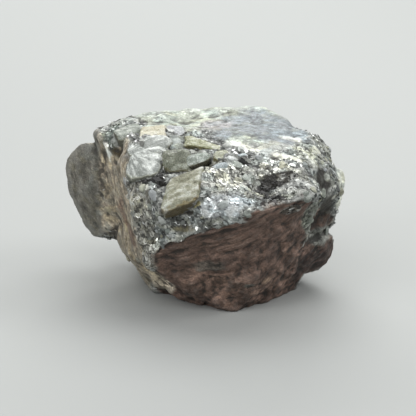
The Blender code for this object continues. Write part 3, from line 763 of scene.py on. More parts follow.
def stone_surface():
    """The stone's skin on a cube's grid, denser towards the front: the solid's form, then fine relief."""
    directions, quads = cube_sphere(GRID_COUNT)
    directions = directions + DENSER_SHARE * DENSER_TOWARDS
    directions /= np.linalg.norm(directions, axis=1, keepdims=True)
    directions *= HALF_WIDTHS
    directions /= np.linalg.norm(directions, axis=1, keepdims=True)
    form = HEART + directions * reach_of_solid(directions)[:, None]
    broad_normals = spread_out(normals_of(form, quads), quads, NORMAL_ROUNDS)
    broad_normals /= np.linalg.norm(broad_normals, axis=1, keepdims=True)
    look = minerals(form, broad_normals)
    flakes, streaks, slip = look[:, 3], look[:, 4], look[:, 6]
    # The slip lines fade downwards, where the brown face is knobby
    lined = eased(form @ SLIP_NORMAL + 4.0 * smooth_noise(form, 4.5, 65), 11.0, 21.0)
    look = np.column_stack([look, slip * lined])
    fine = flakes * (chips(form, *CRUMB_CHIPS) + chips(form, *FLAKE_CHIPS) + chips(form, *FINE_FLAKE_CHIPS))
    fine += flakes * ROW_HEIGHT * in_rows(form) + streaks * layers(form, *FINE_LAYERS)
    lines = layers(form, *SLIP_LINES) + layers(form, *SLIP_LEDGES)
    lines += chips(form - 0.75 * (form @ SLIP_ALONG)[:, None] * SLIP_ALONG, *SLIP_TEARS)
    knobs = chips(form, *SLIP_KNOBS) + chips(form, *SLIP_GRAINS)
    fine += slip * (lined * lines + (1.0 - 0.7 * lined) * knobs - SLIP_RECESS)
    beside = beside_crystals(form)
    collar = eased(beside, -0.8, -0.1) * (1.0 - eased(beside, 0.0, COLLAR_REACH))
    fine += COLLAR_HEIGHT * collar * eased(smooth_noise(form, *COLLAR_PATCHES), -0.35, 0.35)
    for cell, height, seed in ROUGH_CELLS:
        fine += height * (0.4 + 0.6 * flakes) * smooth_noise(form, cell, seed)
    skin = form + broad_normals * fine[:, None]
    skin[:, 2] = np.maximum(skin[:, 2], 0.0)
    near, far = (spread_out(skin, quads, rounds) for rounds in HOLLOW_ROUNDS)
    hollow = np.einsum("ij,ij->i", (near - skin) + FAR_HOLLOW_SHARE * (far - skin), broad_normals)
    return skin, quads, look, hollow, broad_normals


def scattered(skin, quads, chance, count, random):
    """Places drawn on the skin's quads with the given chance for each, and the quads that they lie in."""
    chosen = random.choice(len(quads), count, p=chance / chance.sum())
    shares = random.dirichlet(np.ones(4), count)
    return np.einsum("pc,pcx->px", shares, skin[quads[chosen]]), chosen


def areas_of(corners):
    """Areas of quads from their corners."""
    return 0.5 * np.linalg.norm(
        np.cross(corners[:, 2] - corners[:, 0], corners[:, 3] - corners[:, 1]), axis=1
    )


def flaky_chance(skin, quads, look):
    """Chance of a plate on each quad of the skin: high where it is flaky, none inside the crystals."""
    corners = skin[quads]
    flaky = np.clip(look[quads, 3].mean(axis=1) - 0.4, 0.0, 1.0) ** 1.2
    bare = eased(beside_crystals(corners.mean(axis=1)), -0.2, 0.2) * (corners[:, :, 2].min(axis=1) > 1.5)
    crest = 1.0 - 0.6 * eased(corners[:, 0, 2], 36.5, 38.0)
    return areas_of(corners) * flaky * bare * crest


def mica_plates(skin, quads, colours, chance, count, seed):
    """Thin six-cornered plates of mica, half sunk in a skin.

    A plate lies in the plane of u and v, leaning a little from the skin. Its corner k is at
    middle + reach (cos a_k u + sin a_k v / slimness) r_k, with a_k near 60 k degrees, once above and once
    below.
    """
    random = np.random.default_rng(seed)
    middle, chosen = scattered(skin, quads, chance, count, random)
    outward = spread_out(normals_of(skin, quads), quads, 2)[quads[chosen]].mean(axis=1)
    outward /= np.linalg.norm(outward, axis=1, keepdims=True)
    cluster = grains(middle, CLUSTER_CELL, PLATE_SEED)
    wide = grains(middle, 2.7 * CLUSTER_CELL, PLATE_SEED + 30)
    flat = outward + CLUSTER_LEAN * (cluster - 0.5) + random.normal(0.0, PLATE_LEAN, (count, 3))
    flat /= np.linalg.norm(flat, axis=1, keepdims=True)
    rows = PLATE_ROWS + corner_strip_share(middle)[:, None] * (STRIP_ROWS - PLATE_ROWS)
    rows = rows + random.normal(0.0, ROW_SCATTER, (count, 3))
    u_axis = rows - np.einsum("ij,ij->i", rows, flat)[:, None] * flat
    u_axis /= np.linalg.norm(u_axis, axis=1, keepdims=True)
    v_axis = np.cross(flat, u_axis)
    sizes = np.exp(random.normal(0.0, PLATE_SPREAD, count)).clip(*PLATE_LIMITS)
    reach = PLATE_REACH * (0.7 + 0.8 * wide[:, 0]) * sizes
    slimness = random.uniform(*PLATE_SLIMNESS, count)
    half_thickness = random.uniform(*PLATE_HALF_THICKNESS, count)
    middle = middle + outward * random.uniform(*PLATE_SEAT, count)[:, None]
    corner = np.arange(6)
    turns = np.radians(60.0 * corner) + random.normal(0.0, CORNER_TURN, (count, 6))
    radii = random.uniform(*CORNER_RADII, (count, 6)) * reach[:, None]
    rim = (radii * np.cos(turns))[..., None] * u_axis[:, None]
    rim += (radii * np.sin(turns) / slimness[:, None])[..., None] * v_axis[:, None]
    step = (half_thickness[:, None] * flat)[:, None]
    points = np.concatenate([middle[:, None] + rim + step, middle[:, None] + rim - step], axis=1)
    top = np.array([(0, 1, 2, 3), (0, 3, 4, 5)])
    following = (corner + 1) % 6
    sides = np.stack([corner, corner + 6, following + 6, following], axis=1)
    plate = np.concatenate([top, top[:, ::-1] + 6, sides])
    faces = (plate[None] + 12 * np.arange(count)[:, None, None]).reshape(-1, 4)
    tint = colours[quads[chosen, 0]]
    draw = 0.55 * random.uniform(0.0, 1.0, count) + 0.3 * cluster[:, 1] + 0.15 * wide[:, 1]
    draw = np.clip(0.5 + 1.5 * (draw - 0.5), 0.0, 1.0)
    draw = np.where(np.linalg.norm(tint, axis=1) < 0.12, 0.35 * draw, draw)
    return points.reshape(-1, 3), faces, {
        "mineral_colour": np.repeat(tint, 12, axis=0),
        "sparkle": np.repeat(draw, 12),
    }


def small_grains(skin, quads, look, normals):
    """Small angular grains of quartz, feldspar and beryl, half sunk in the skin.

    Each is a block between random planes: in direction d its skin lies at reach / max_j (n_j . d / h_j), then
    pressed flatter along the rock's normal.
    """
    random = np.random.default_rng(GRAIN_SEED)
    corners = skin[quads]
    rocky = (1.0 - look[quads, 4].mean(axis=1)) * (1.0 - look[quads, 6].mean(axis=1))
    rocky *= 1.0 - eased(corners[:, 0, 2], 33.0, 34.5) * eased(corners[:, 0, 1], -6.0, -3.0)
    rocky *= eased(look[quads[:, 0], :3].sum(axis=1), 0.15, 0.3)
    rocky *= eased(look[quads[:, 0], 3], 0.3, 0.6) * eased(corners[:, 0, 0], -22.0, -20.0)
    rocky *= corners[:, :, 2].min(axis=1) > 3.0
    rocky *= eased(beside_crystals(corners.mean(axis=1)), 0.1, 0.5)
    middle, chosen = scattered(skin, quads, areas_of(corners) * rocky, GRAIN_COUNT, random)
    directions, ring = cube_sphere(5)
    planes = random.normal(0.0, 1.0, (GRAIN_COUNT, GRAIN_FACES, 3))
    planes /= np.linalg.norm(planes, axis=2, keepdims=True)
    heights = random.uniform(*GRAIN_FACE_DISTANCES, (GRAIN_COUNT, GRAIN_FACES))
    steepness = np.einsum("gfx,dx->gdf", planes, directions) / heights[:, None]
    steepness = np.maximum(steepness.max(axis=2), 0.75)
    reach = GRAIN_REACH * np.exp(random.normal(0.0, GRAIN_SPREAD, GRAIN_COUNT)).clip(*GRAIN_LIMITS)
    local = directions[None] * (reach[:, None] / steepness)[..., None]
    outward = normals[quads[chosen]].mean(axis=1)
    lift = np.einsum("gdx,gx->gd", local, outward)
    local -= GRAIN_PRESS * lift[..., None] * outward[:, None]
    long_axis = PLATE_ROWS + random.normal(0.0, 0.6, (GRAIN_COUNT, 3))
    long_axis /= np.linalg.norm(long_axis, axis=1, keepdims=True)
    stretch = np.einsum("gdx,gx->gd", local, long_axis)
    drawn_out = random.uniform(0.0, GRAIN_STRETCH, GRAIN_COUNT)[:, None, None]
    local += drawn_out * stretch[..., None] * long_axis[:, None]
    points = middle[:, None] + local - (GRAIN_SINK * reach)[:, None, None] * outward[:, None]
    faces = (ring[None] + len(directions) * np.arange(GRAIN_COUNT)[:, None, None]).reshape(-1, 4)
    tones = np.array([linear(*tone) for tone in GRAIN_TONES])
    tint = tones[random.choice(len(tones), GRAIN_COUNT, p=GRAIN_SHARES)]
    around = look[quads[chosen, 0], :3]
    tint = tint + GRAIN_STAIN * (around - tint)
    return points.reshape(-1, 3), faces, {"mineral_colour": np.repeat(tint, len(directions), axis=0)}


def mesh_piece(name, points, quads, material, values=None, flat=False):
    """A mesh object at the origin from points in millimetres, with its named values and its material."""
    mesh = bpy.data.meshes.new(name)
    mesh.vertices.add(len(points))
    mesh.vertices.foreach_set("co", ((points + CENTRING) * MM).ravel())
    sides = quads.shape[1]
    mesh.loops.add(quads.size)
    mesh.loops.foreach_set("vertex_index", quads.ravel())
    mesh.polygons.add(len(quads))
    mesh.polygons.foreach_set("loop_start", np.arange(len(quads)) * sides)
    mesh.update(calc_edges=True)
    mesh.polygons.foreach_set("use_smooth", np.full(len(quads), not flat))
    for label, array in (values or {}).items():
        if array.ndim == 2:
            attribute = mesh.attributes.new(label, "FLOAT_COLOR", "POINT")
            attribute.data.foreach_set("color", np.column_stack([array, np.ones(len(array))]).ravel())
        else:
            attribute = mesh.attributes.new(label, "FLOAT", "POINT")
            attribute.data.foreach_set("value", array)
    mesh.validate()
    piece = bpy.data.objects.new(name, mesh)
    bpy.context.scene.collection.objects.link(piece)
    mesh.materials.append(material)
    return piece


def crystal_corners(length, width, thickness, taper, lean, seed):
    """Corners of a blocky crystal along X: its sections, each corner moved a little at random."""
    corners = np.array([
        (place, size * across, size * up)
        for place, size in CRYSTAL_SECTIONS
        for across, up in CRYSTAL_SECTION
    ])
    cells = np.repeat(np.arange(len(corners))[:, None], 3, axis=1)
    strays = np.stack([hashed(cells, seed + axis) for axis in range(3)], axis=1) - 0.5
    corners += 2.0 * CRYSTAL_UNEVENNESS * strays
    corners[:, 1:] *= 1.0 + taper * corners[:, :1]
    corners *= (length, width, thickness)
    corners[:, 0] += lean * corners[:, 1]
    return corners


def contact_share(points, thickness):
    """How much clinging mica hides a crystal's skin: fully where it leaves the rock, in ragged patches.

    Mica climbs higher on a thick crystal, in step with its thickness past a set value.
    """
    away = points - HEART
    distance = np.linalg.norm(away, axis=1)
    rise = distance - reach_of_solid(away / distance[:, None])
    ragged = 0.35 * smooth_noise(points, 1.6, 89) + 0.3 * smooth_noise(points, 0.6, 90)
    lift = CONTACT_LIFT * max(0.0, thickness - CONTACT_THICKNESS)
    return 1.0 - eased(rise + ragged - lift, *CONTACT_RISE)


def crystal_surface(name, crispness, spread_from, middle, along, outward, length, width, thickness, *bends):
    """A crystal's skin: a grid pushed out to its faces, rounded by its crispness, with bands and chips."""
    directions, quads = cube_sphere(CRYSTAL_GRID_COUNT)
    directions = directions * (length, width, thickness)
    directions /= np.linalg.norm(directions, axis=1, keepdims=True)
    corners = crystal_corners(length, width, thickness, *bends, len(name))
    faces = planes_of(corners, corners.mean(axis=0), FLAT_ANGLE_CRYSTAL)
    sharp = reach_within(directions, *faces, EDGE_SHARPNESS)
    reach = reach_within(directions, *faces, crispness)
    local = corners.mean(axis=0) + directions * (reach * sharp.mean() / reach.mean())[:, None]
    points = np.array(middle) + local @ crystal_frame(along, outward)
    angular = min(1.0, crispness / 30.0)
    # Growth bands lie along the rays that spread from one place
    rays = local[:, :2] - np.array(spread_from)
    span = min(1000.0, 0.5 * length + math.hypot(*spread_from))
    turn = span * np.arctan2(rays[:, 1], rays[:, 0])
    warp = 0.25 * smooth_noise(points, 1.6, 86)
    across = np.stack([turn + warp, 0.3 * np.linalg.norm(rays, axis=1), local[:, 2] + warp], axis=1)
    bands = 0.6 * smooth_noise(across, *BROAD_BANDS) + 0.4 * smooth_noise(across, *FINE_BANDS)
    chipped = chips(points, *BROAD_CRYSTAL_CHIPS) + chips(points, *SMALL_CRYSTAL_CHIPS)
    fine = (0.03 + 0.04 * angular) * chipped
    fine += BAND_HEIGHT * bands + CRYSTAL_GRAIN_HEIGHT * smooth_noise(points, *CRYSTAL_GRAIN)
    points = points + normals_of(points, quads) * fine[:, None]
    normals = normals_of(points, quads)
    hollow = np.einsum("ij,ij->i", spread_out(points, quads, 6) - points, normals)
    # Faces that look down, to be painted with stain and shade
    underside = eased(-normals[:, 2] + 0.25 * smooth_noise(points, 1.0, 87), -0.4, 0.2)
    return points, quads, {
        "depth": np.clip(0.5 + hollow / DEPTH_RANGE, 0.0, 1.0),
        "bands": np.clip(0.5 + 0.9 * bands, 0.0, 1.0),
        "underside": underside,
        "contact": contact_share(points, thickness),
    }


# Shading


def set_inputs(tree, node, inputs):
    """Gives a node's inputs their values, or joins them to the sockets given."""
    for name, value in inputs.items():
        if isinstance(value, bpy.types.NodeSocket):
            tree.links.new(value, node.inputs[name])
        else:
            node.inputs[name].default_value = value


def add_node(tree, kind, settings=None, inputs=None):
    """One shader node with its settings and inputs."""
    node = tree.nodes.new(kind)
    for name, value in (settings or {}).items():
        setattr(node, name, value)
    set_inputs(tree, node, inputs or {})
    return node


def calculate(tree, operation, first, second, clamp=False):
    """The result of one Math node."""
    settings = {"operation": operation, "use_clamp": clamp}
    return add_node(tree, "ShaderNodeMath", settings, {0: first, 1: second}).outputs[0]


def product(tree, first, second):
    """Two numbers multiplied."""
    return calculate(tree, "MULTIPLY", first, second)


def vector_node(tree, operation, inputs):
    """The outputs of one Vector Math node: a vector, then a number."""
    return add_node(tree, "ShaderNodeVectorMath", {"operation": operation}, inputs).outputs


def combine(tree, operation, first, second):
    """Two vectors added or subtracted."""
    return vector_node(tree, operation, {0: first, 1: second})[0]


def scaled(tree, vector, factor):
    """A vector times a number."""
    return vector_node(tree, "SCALE", {0: vector, "Scale": factor})[0]


def dot(tree, first, second):
    """The dot product of two vectors."""
    return vector_node(tree, "DOT_PRODUCT", {0: first, 1: second})["Value"]


def unit(tree, vector):
    """A vector made one long."""
    return vector_node(tree, "NORMALIZE", {0: vector})[0]


def mix_colours(tree, share, first, second, blend="MIX"):
    """Two colours mixed."""
    return add_node(
        tree, "ShaderNodeMix", {"data_type": "RGBA", "blend_type": blend}, {0: share, 6: first, 7: second}
    ).outputs[2]


def multiplied(tree, first, second):
    """Two colours multiplied."""
    return mix_colours(tree, 1.0, first, second, "MULTIPLY")


def toned(tree, share, colour, tone):
    """A colour multiplied by a tone, as much as the share says."""
    return mix_colours(tree, share, colour, multiplied(tree, colour, tone))


def mix_values(tree, share, first, second):
    """Two numbers mixed."""
    return add_node(tree, "ShaderNodeMix", {"data_type": "FLOAT"}, {0: share, 2: first, 3: second}).outputs[0]


def graded(tree, value, stops):
    """A value graded to colours or greys at the stops."""
    ramp = add_node(tree, "ShaderNodeValToRGB", None, {0: value})
    elements = ramp.color_ramp.elements
    while len(elements) < len(stops):
        elements.new(0.5)
    for element, (position, tone) in zip(elements, stops):
        element.position = position
        element.color = (tone, tone, tone, 1.0) if isinstance(tone, float) else (*tone, 1.0)
    return ramp.outputs[0]


def noise(tree, place, scale, detail, roughness=0.5):
    """The outputs of one noise texture."""
    inputs = {"Vector": place, "Scale": scale, "Detail": detail, "Roughness": roughness}
    return add_node(tree, "ShaderNodeTexNoise", None, inputs).outputs


def bumped(tree, height, distance, strength, **normal):
    """The surface's normal, or the one that is given, bent by a height."""
    inputs = {"Height": height, "Distance": distance, "Strength": strength, **normal}
    return add_node(tree, "ShaderNodeBump", None, inputs).outputs[0]


def new_group(name, inputs, outputs):
    """An empty shader node group with named inputs and outputs."""
    group = bpy.data.node_groups.new(name, "ShaderNodeTree")
    for label, kind, default in inputs:
        socket = group.interface.new_socket(label, in_out="INPUT", socket_type=kind)
        if default is not None:
            socket.default_value = default
    for label, kind in outputs:
        group.interface.new_socket(label, in_out="OUTPUT", socket_type=kind)
    start = group.nodes.new("NodeGroupInput")
    end = group.nodes.new("NodeGroupOutput")
    return group, start.outputs, end


def flake_group():
    """Mica flakes: cells flattened along the layers, each with its own tone and its own tilt of the skin."""
    group, given, end = new_group(
        "mica_flakes",
        [
            ("Position", "NodeSocketVector", None),
            ("Size", "NodeSocketFloat", 1.0),
            ("Flatness", "NodeSocketFloat", 1.6),
            ("Tilt", "NodeSocketFloat", 0.6),
        ],
        [("Tone", "NodeSocketFloat"), ("Normal", "NodeSocketVector")],
    )
    place, across = given["Position"], tuple(LAYER_NORMAL)
    squeeze = calculate(group, "SUBTRACT", given["Flatness"], 1.0)
    extra = scaled(group, across, product(group, dot(group, place, across), squeeze))
    flattened = combine(group, "ADD", place, extra)
    warp = scaled(group, noise(group, flattened, 1.1, 2.0)["Color"], 0.5)
    warped = combine(group, "ADD", flattened, warp)
    scale = calculate(group, "DIVIDE", 1.0, given["Size"])
    cells = add_node(group, "ShaderNodeTexVoronoi", None, {"Vector": warped, "Scale": scale}).outputs["Color"]
    lean = scaled(group, combine(group, "SUBTRACT", cells, (0.5, 0.5, 0.5)), given["Tilt"])
    surface = add_node(group, "ShaderNodeNewGeometry").outputs["Normal"]
    set_inputs(group, end, {
        "Tone": add_node(group, "ShaderNodeSeparateColor", None, {0: cells}).outputs[0],
        "Normal": unit(group, combine(group, "ADD", surface, lean)),
    })
    return group


def streak_group():
    """Fine layers or slip lines: noise that is long along them and short along the direction across them."""
    group, given, end = new_group(
        "layer_streaks",
        [
            ("Position", "NodeSocketVector", None),
            ("Across", "NodeSocketVector", None),
            ("Spacing", "NodeSocketFloat", 0.6),
            ("Length", "NodeSocketFloat", 9.0),
            ("Wave", "NodeSocketFloat", 1.6),
        ],
        [("Streak", "NodeSocketFloat"), ("Thread", "NodeSocketFloat")],
    )
    place, normal = given["Position"], given["Across"]
    wave = product(group, noise(group, place, 0.18, 2.0)[0], given["Wave"])
    bent = calculate(group, "ADD", dot(group, place, normal), wave)
    short = scaled(group, normal, calculate(group, "DIVIDE", bent, given["Spacing"]))
    along = scaled(group, place, calculate(group, "DIVIDE", 1.0, given["Length"]))
    shifted = combine(group, "ADD", along, short)
    coarse = noise(group, shifted, 1.0, 4.0, 0.65)[0]
    fine = noise(group, shifted, 2.7, 3.0, 0.7)[0]
    set_inputs(group, end, {
        "Streak": graded(group, coarse, [(0.32, 0.0), (0.68, 1.0)]),
        "Thread": graded(group, fine, [(0.52, 0.0), (0.66, 1.0)]),
    })
    return group


def mottle_group():
    """Cloudy and speckled changes of tone, coarse and fine."""
    group, given, end = new_group(
        "mottling",
        [("Position", "NodeSocketVector", None), ("Size", "NodeSocketFloat", 3.0)],
        [("Cloud", "NodeSocketFloat"), ("Speckle", "NodeSocketFloat")],
    )
    scale = calculate(group, "DIVIDE", 1.0, given["Size"])
    cloud = noise(group, given["Position"], scale, 4.0, 0.6)[0]
    speckle = noise(group, given["Position"], product(group, scale, 7.0), 2.0, 0.6)[0]
    set_inputs(group, end, {
        "Cloud": graded(group, cloud, [(0.3, 0.0), (0.7, 1.0)]),
        "Speckle": graded(group, speckle, [(0.36, 0.0), (0.64, 1.0)]),
    })
    return group


def hollow_group():
    """Painted shade in the hollows and paleness on the worn edges, from how deep each point lies."""
    group, given, end = new_group(
        "painted_hollow_shade_and_worn_edges",
        [
            ("Color", "NodeSocketColor", None),
            ("Depth", "NodeSocketFloat", 0.0),
            ("Dirt Color", "NodeSocketColor", (0.03, 0.028, 0.025, 1.0)),
            ("Dirt", "NodeSocketFloat", 0.6),
            ("Wear Color", "NodeSocketColor", (0.6, 0.6, 0.56, 1.0)),
            ("Wear", "NodeSocketFloat", 0.3),
        ],
        [("Color", "NodeSocketColor")],
    )
    # Painted shade: the deeper a point lies, the darker it is painted; the highest edges are painted paler as
    # wear
    hollow_shade = product(group, graded(group, given["Depth"], [(0.52, 0.0), (0.72, 1.0)]), given["Dirt"])
    wear = product(group, graded(group, given["Depth"], [(0.25, 1.0), (0.46, 0.0)]), given["Wear"])
    darkened = mix_colours(group, hollow_shade, given["Color"], given["Dirt Color"])
    set_inputs(group, end, {"Color": mix_colours(group, wear, darkened, given["Wear Color"])})
    return group


def new_material(name):
    """A material with its Principled shader, and places on the piece in millimetres."""
    material = bpy.data.materials.new(name)
    material.use_nodes = True
    tree = material.node_tree
    coordinates = add_node(tree, "ShaderNodeTexCoord").outputs["Object"]
    return material, tree, tree.nodes["Principled BSDF"], scaled(tree, coordinates, 1.0 / MM)


def add_group(tree, group, **inputs):
    """The outputs of a node group placed in a material with its own values."""
    named = {name.replace("_", " "): value for name, value in inputs.items()}
    return add_node(tree, "ShaderNodeGroup", {"node_tree": group}, named).outputs


def attribute(tree, name, output="Fac"):
    """A named value of the mesh."""
    return add_node(tree, "ShaderNodeAttribute", {"attribute_name": name}).outputs[output]


def schist_material(groups):
    """Mica schist: mineral colours, black to white flakes with glints of their own, layers, painted shade and
    wear.
    """
    material, tree, shader, place = new_material("mica_schist_rock")
    tint = attribute(tree, "mineral_colour", "Color")
    names = ("flakes", "streaks", "gloss", "slip", "lined", "depth")
    flakes, streaks, gloss, slip, lined, depth = (attribute(tree, name) for name in names)
    coarse = add_group(tree, groups["flakes"], Position=place, Size=1.15, Flatness=2.2, Tilt=0.8)
    fine = add_group(tree, groups["flakes"], Position=place, Size=0.45, Flatness=1.8, Tilt=0.8)
    layered, sliding = (
        add_group(
            tree, groups["streaks"],
            Position=place, Across=tuple(normal), Spacing=0.7, Length=length, Wave=wave,
        )
        for normal, length, wave in ((LAYER_NORMAL, 10.0, 1.6), (SLIP_NORMAL, 7.0, 2.2))
    )
    mottle = add_group(tree, groups["mottling"], Position=place, Size=2.6)
    # Tones of the flakes: mostly grey, some black, a few white
    coarse_tone = graded(
        tree, coarse["Tone"], [(0.0, 0.1), (0.2, 0.4), (0.45, 0.8), (0.75, 1.1), (0.93, 1.5), (1.0, 2.4)]
    )
    fine_tone = graded(tree, fine["Tone"], [(0.0, 0.25), (0.25, 0.65), (0.7, 1.1), (0.95, 1.7)])
    flaky = mix_colours(tree, flakes, (1.0, 1.0, 1.0, 1.0), multiplied(tree, coarse_tone, fine_tone))
    colour = multiplied(tree, tint, flaky)
    # Layers: darker and paler bands, with thin pale threads
    banding = graded(tree, layered["Streak"], [(0.0, 0.55), (0.5, 0.95), (1.0, 1.45)])
    colour = toned(tree, streaks, colour, banding)
    threads = product(tree, product(tree, layered["Thread"], streaks), 0.3)
    colour = mix_colours(tree, threads, colour, (*linear(186, 180, 168), 1.0))
    # Slip lines: dark partings and thin pinkish tan threads
    partings = graded(tree, sliding["Streak"], [(0.0, 0.42), (0.45, 0.95), (1.0, 1.45)])
    colour = toned(tree, product(tree, slip, mix_values(tree, lined, 0.45, 1.0)), colour, partings)
    threads = product(tree, product(tree, sliding["Thread"], lined), 0.36)
    colour = mix_colours(tree, threads, colour, (*linear(152, 130, 115), 1.0))
    # Clouds, blotches where the brown rock is knobby, and speckles
    colour = multiplied(tree, colour, graded(tree, mottle["Cloud"], [(0.0, 0.74), (1.0, 1.26)]))
    blotch = graded(tree, mottle["Cloud"], [(0.3, 0.6), (0.55, 1.0), (0.8, 1.45)])
    colour = toned(tree, calculate(tree, "SUBTRACT", slip, lined, clamp=True), colour, blotch)
    speckle = graded(tree, mottle["Speckle"], [(0.0, 0.7), (0.5, 1.0), (1.0, 1.25)])
    colour = toned(tree, 0.7, colour, speckle)
    # Painted shade in the hollows and paler worn edges
    worn = add_group(
        tree, groups["hollows"], Color=colour, Depth=depth, Dirt=0.8,
        Wear_Color=(*linear(214, 215, 209), 1.0), Wear=product(tree, flakes, 0.4),
    )
    # Gloss of the flakes: bright flakes are polished, dark ones satin
    polish = graded(tree, coarse["Tone"], [(0.0, 0.5), (0.6, 0.4), (1.0, 0.16)])
    rough = mix_values(tree, flakes, 0.72, polish)
    metal = graded(tree, coarse["Tone"], [(0.45, 0.0), (0.8, 0.4), (1.0, 0.7)])
    surface = add_node(tree, "ShaderNodeNewGeometry").outputs["Normal"]
    both = combine(tree, "ADD", coarse["Normal"], fine["Normal"])
    tilted = add_node(
        tree, "ShaderNodeMix", {"data_type": "VECTOR"}, {0: flakes, 4: surface, 5: both}
    ).outputs[1]
    height = product(tree, layered["Streak"], streaks)
    height = calculate(tree, "ADD", height, product(tree, sliding["Streak"], lined))
    height = calculate(tree, "ADD", height, product(tree, mottle["Speckle"], 0.5))
    set_inputs(tree, shader, {
        "Base Color": worn["Color"],
        "Roughness": calculate(tree, "SUBTRACT", rough, product(tree, gloss, 0.14), clamp=True),
        "Metallic": product(tree, metal, flakes),
        "Specular IOR Level": 0.35,
        "Normal": bumped(tree, height, 0.00025, 0.8, Normal=unit(tree, tilted)),
    })
    return material


def plate_material(groups):
    """Single plates of mica, each from black to silver white, the brightest polished."""
    material, tree, shader, place = new_material("mica_plates")
    sparkle = attribute(tree, "sparkle")
    mottle = add_group(tree, groups["mottling"], Position=place, Size=0.5)
    tone = graded(tree, sparkle, [(0.0, 0.12), (0.25, 0.4), (0.6, 1.0), (0.85, 1.35), (1.0, 1.6)])
    colour = multiplied(tree, attribute(tree, "mineral_colour", "Color"), tone)
    silver = graded(tree, sparkle, [(0.78, 0.0), (0.95, 0.75)])
    colour = mix_colours(tree, silver, colour, (*linear(236, 238, 236), 1.0))
    set_inputs(tree, shader, {
        "Base Color": multiplied(tree, colour, graded(tree, mottle["Cloud"], [(0.0, 0.8), (1.0, 1.2)])),
        "Roughness": graded(tree, sparkle, [(0.0, 0.38), (0.6, 0.34), (0.9, 0.18)]),
        "Metallic": graded(tree, sparkle, [(0.4, 0.0), (0.7, 0.35), (1.0, 0.6)]),
    })
    return material


def grain_material(groups):
    """Small grains: cloudy, each in its own mineral's colour, and glassy where they are clear."""
    material, tree, shader, place = new_material("small_grains")
    mottle = add_group(tree, groups["mottling"], Position=place, Size=0.9)
    cloud = graded(tree, mottle["Cloud"], [(0.0, 0.72), (1.0, 1.28)])
    set_inputs(tree, shader, {
        "Base Color": multiplied(tree, attribute(tree, "mineral_colour", "Color"), cloud),
        "Roughness": graded(tree, mottle["Speckle"], [(0.0, 0.2), (1.0, 0.55)]),
        "Normal": bumped(tree, mottle["Speckle"], 0.0001, 0.6),
    })
    return material


def crystal_material(name, groups, dark, middle, light, shade_and_stain, roughness, band_share, glow=0.0, metallic=0.0):
    """A cloudy crystal: mottled and banded tones, stain and painted shade below, painted shade in hollows,
    pale edges.
    """
    material, tree, shader, place = new_material(name)
    mottle = add_group(tree, groups["mottling"], Position=place, Size=1.4)
    broad = add_group(tree, groups["mottling"], Position=place, Size=4.2)
    cloud = mix_values(tree, 0.45, mottle["Cloud"], broad["Cloud"])
    tone = mix_values(tree, band_share, cloud, attribute(tree, "bands"))
    colour = graded(tree, tone, [(0.12, dark), (0.48, middle), (0.85, light)])
    speckle = graded(tree, mottle["Speckle"], [(0.0, 0.76), (0.5, 1.0), (0.8, 1.1), (1.0, 1.35)])
    colour = multiplied(tree, colour, speckle)
    # Faces that look down are painted with an olive stain and shade: paler olive at first, darker further
    # under
    underside = attribute(tree, "underside")
    paler_shade_and_stain = tuple(min(1.0, 4.5 * part) for part in shade_and_stain)
    shade_and_stain_tones = graded(tree, underside, [(0.1, paler_shade_and_stain), (0.7, shade_and_stain)])
    shade_and_stain_share = graded(tree, underside, [(0.0, 0.0), (0.35, 0.75), (0.8, 0.9)])
    colour = mix_colours(tree, shade_and_stain_share, colour, shade_and_stain_tones)
    # Mica clings to the sides where they leave the rock
    flakes = add_group(tree, groups["flakes"], Position=place, Size=0.5, Flatness=1.8, Tilt=0.8)
    flake_tone = graded(
        tree, flakes["Tone"], [(0.0, 0.05), (0.3, 0.14), (0.7, 0.26), (0.9, 0.45), (1.0, 0.8)]
    )
    colour = mix_colours(tree, attribute(tree, "contact"), colour, flake_tone)
    # Painted shade in the hollows and paler worn edges
    depth = attribute(tree, "depth")
    worn = add_group(
        tree, groups["hollows"], Color=colour, Depth=depth, Dirt=0.6, Wear_Color=(*light, 1.0), Wear=0.8
    )
    height = calculate(tree, "ADD", mottle["Speckle"], mottle["Cloud"])
    set_inputs(tree, shader, {
        "Base Color": worn["Color"],
        "Roughness": mix_values(tree, mottle["Speckle"], roughness, min(1.0, roughness + 0.25)),
        "Metallic": metallic,
        "Specular IOR Level": 0.6,
        "Subsurface Weight": glow,
        "Subsurface Radius": (0.0012, 0.0016, 0.0012),
        "Normal": bumped(tree, height, 0.00015, 0.7),
    })
    return material


# Stage, light and camera

# Where the camera looks, how many degrees above it and how far off it stands, and its lens and sensor
TARGET = Vector((1.0 * MM, CENTRING[1] * MM, 20.2 * MM))
ELEVATION = 20.0
DISTANCE = 0.320
FOCAL_PIXELS = 1472.0
FRAME_PIXELS = 416.0
SENSOR = 36.0

# Floor: colour, where it starts in front and where its wall stands, half its width, radius and steps of the
# sweep between floor and wall, and the wall's height
STAGE_COLOR = linear(153, 155, 153)
FLOOR_FRONT = -3200.0
FLOOR_BACK = 900.0
FLOOR_HALF_WIDTH = 3200.0
SWEEP_RADIUS = 400.0
SWEEP_STEPS = 24
WALL_HEIGHT = 1200.0

# Soft lights: name, place and aim in millimetres, width and height, and power
SOFTBOXES = (
    ("overhead_softbox", (60.0, 180.0, 480.0), (0.0, 0.0, 20.0), (520.0, 420.0), 2.6),
    ("front_softbox", (-90.0, -280.0, 420.0), (0.0, 0.0, 20.0), (420.0, 240.0), 1.1),
    ("right_softbox", (420.0, -40.0, 320.0), (0.0, 0.0, 25.0), (180.0, 180.0), 1.0),
    ("left_softbox", (-380.0, -220.0, 220.0), (0.0, 0.0, 20.0), (160.0, 160.0), 0.45),
    ("rear_softbox", (-60.0, 640.0, 420.0), (0.0, 360.0, 0.0), (600.0, 200.0), 3.7),
)
SURROUND_COLOUR = (0.96, 0.98, 1.0, 1.0)
SURROUND_STRENGTH = 0.43


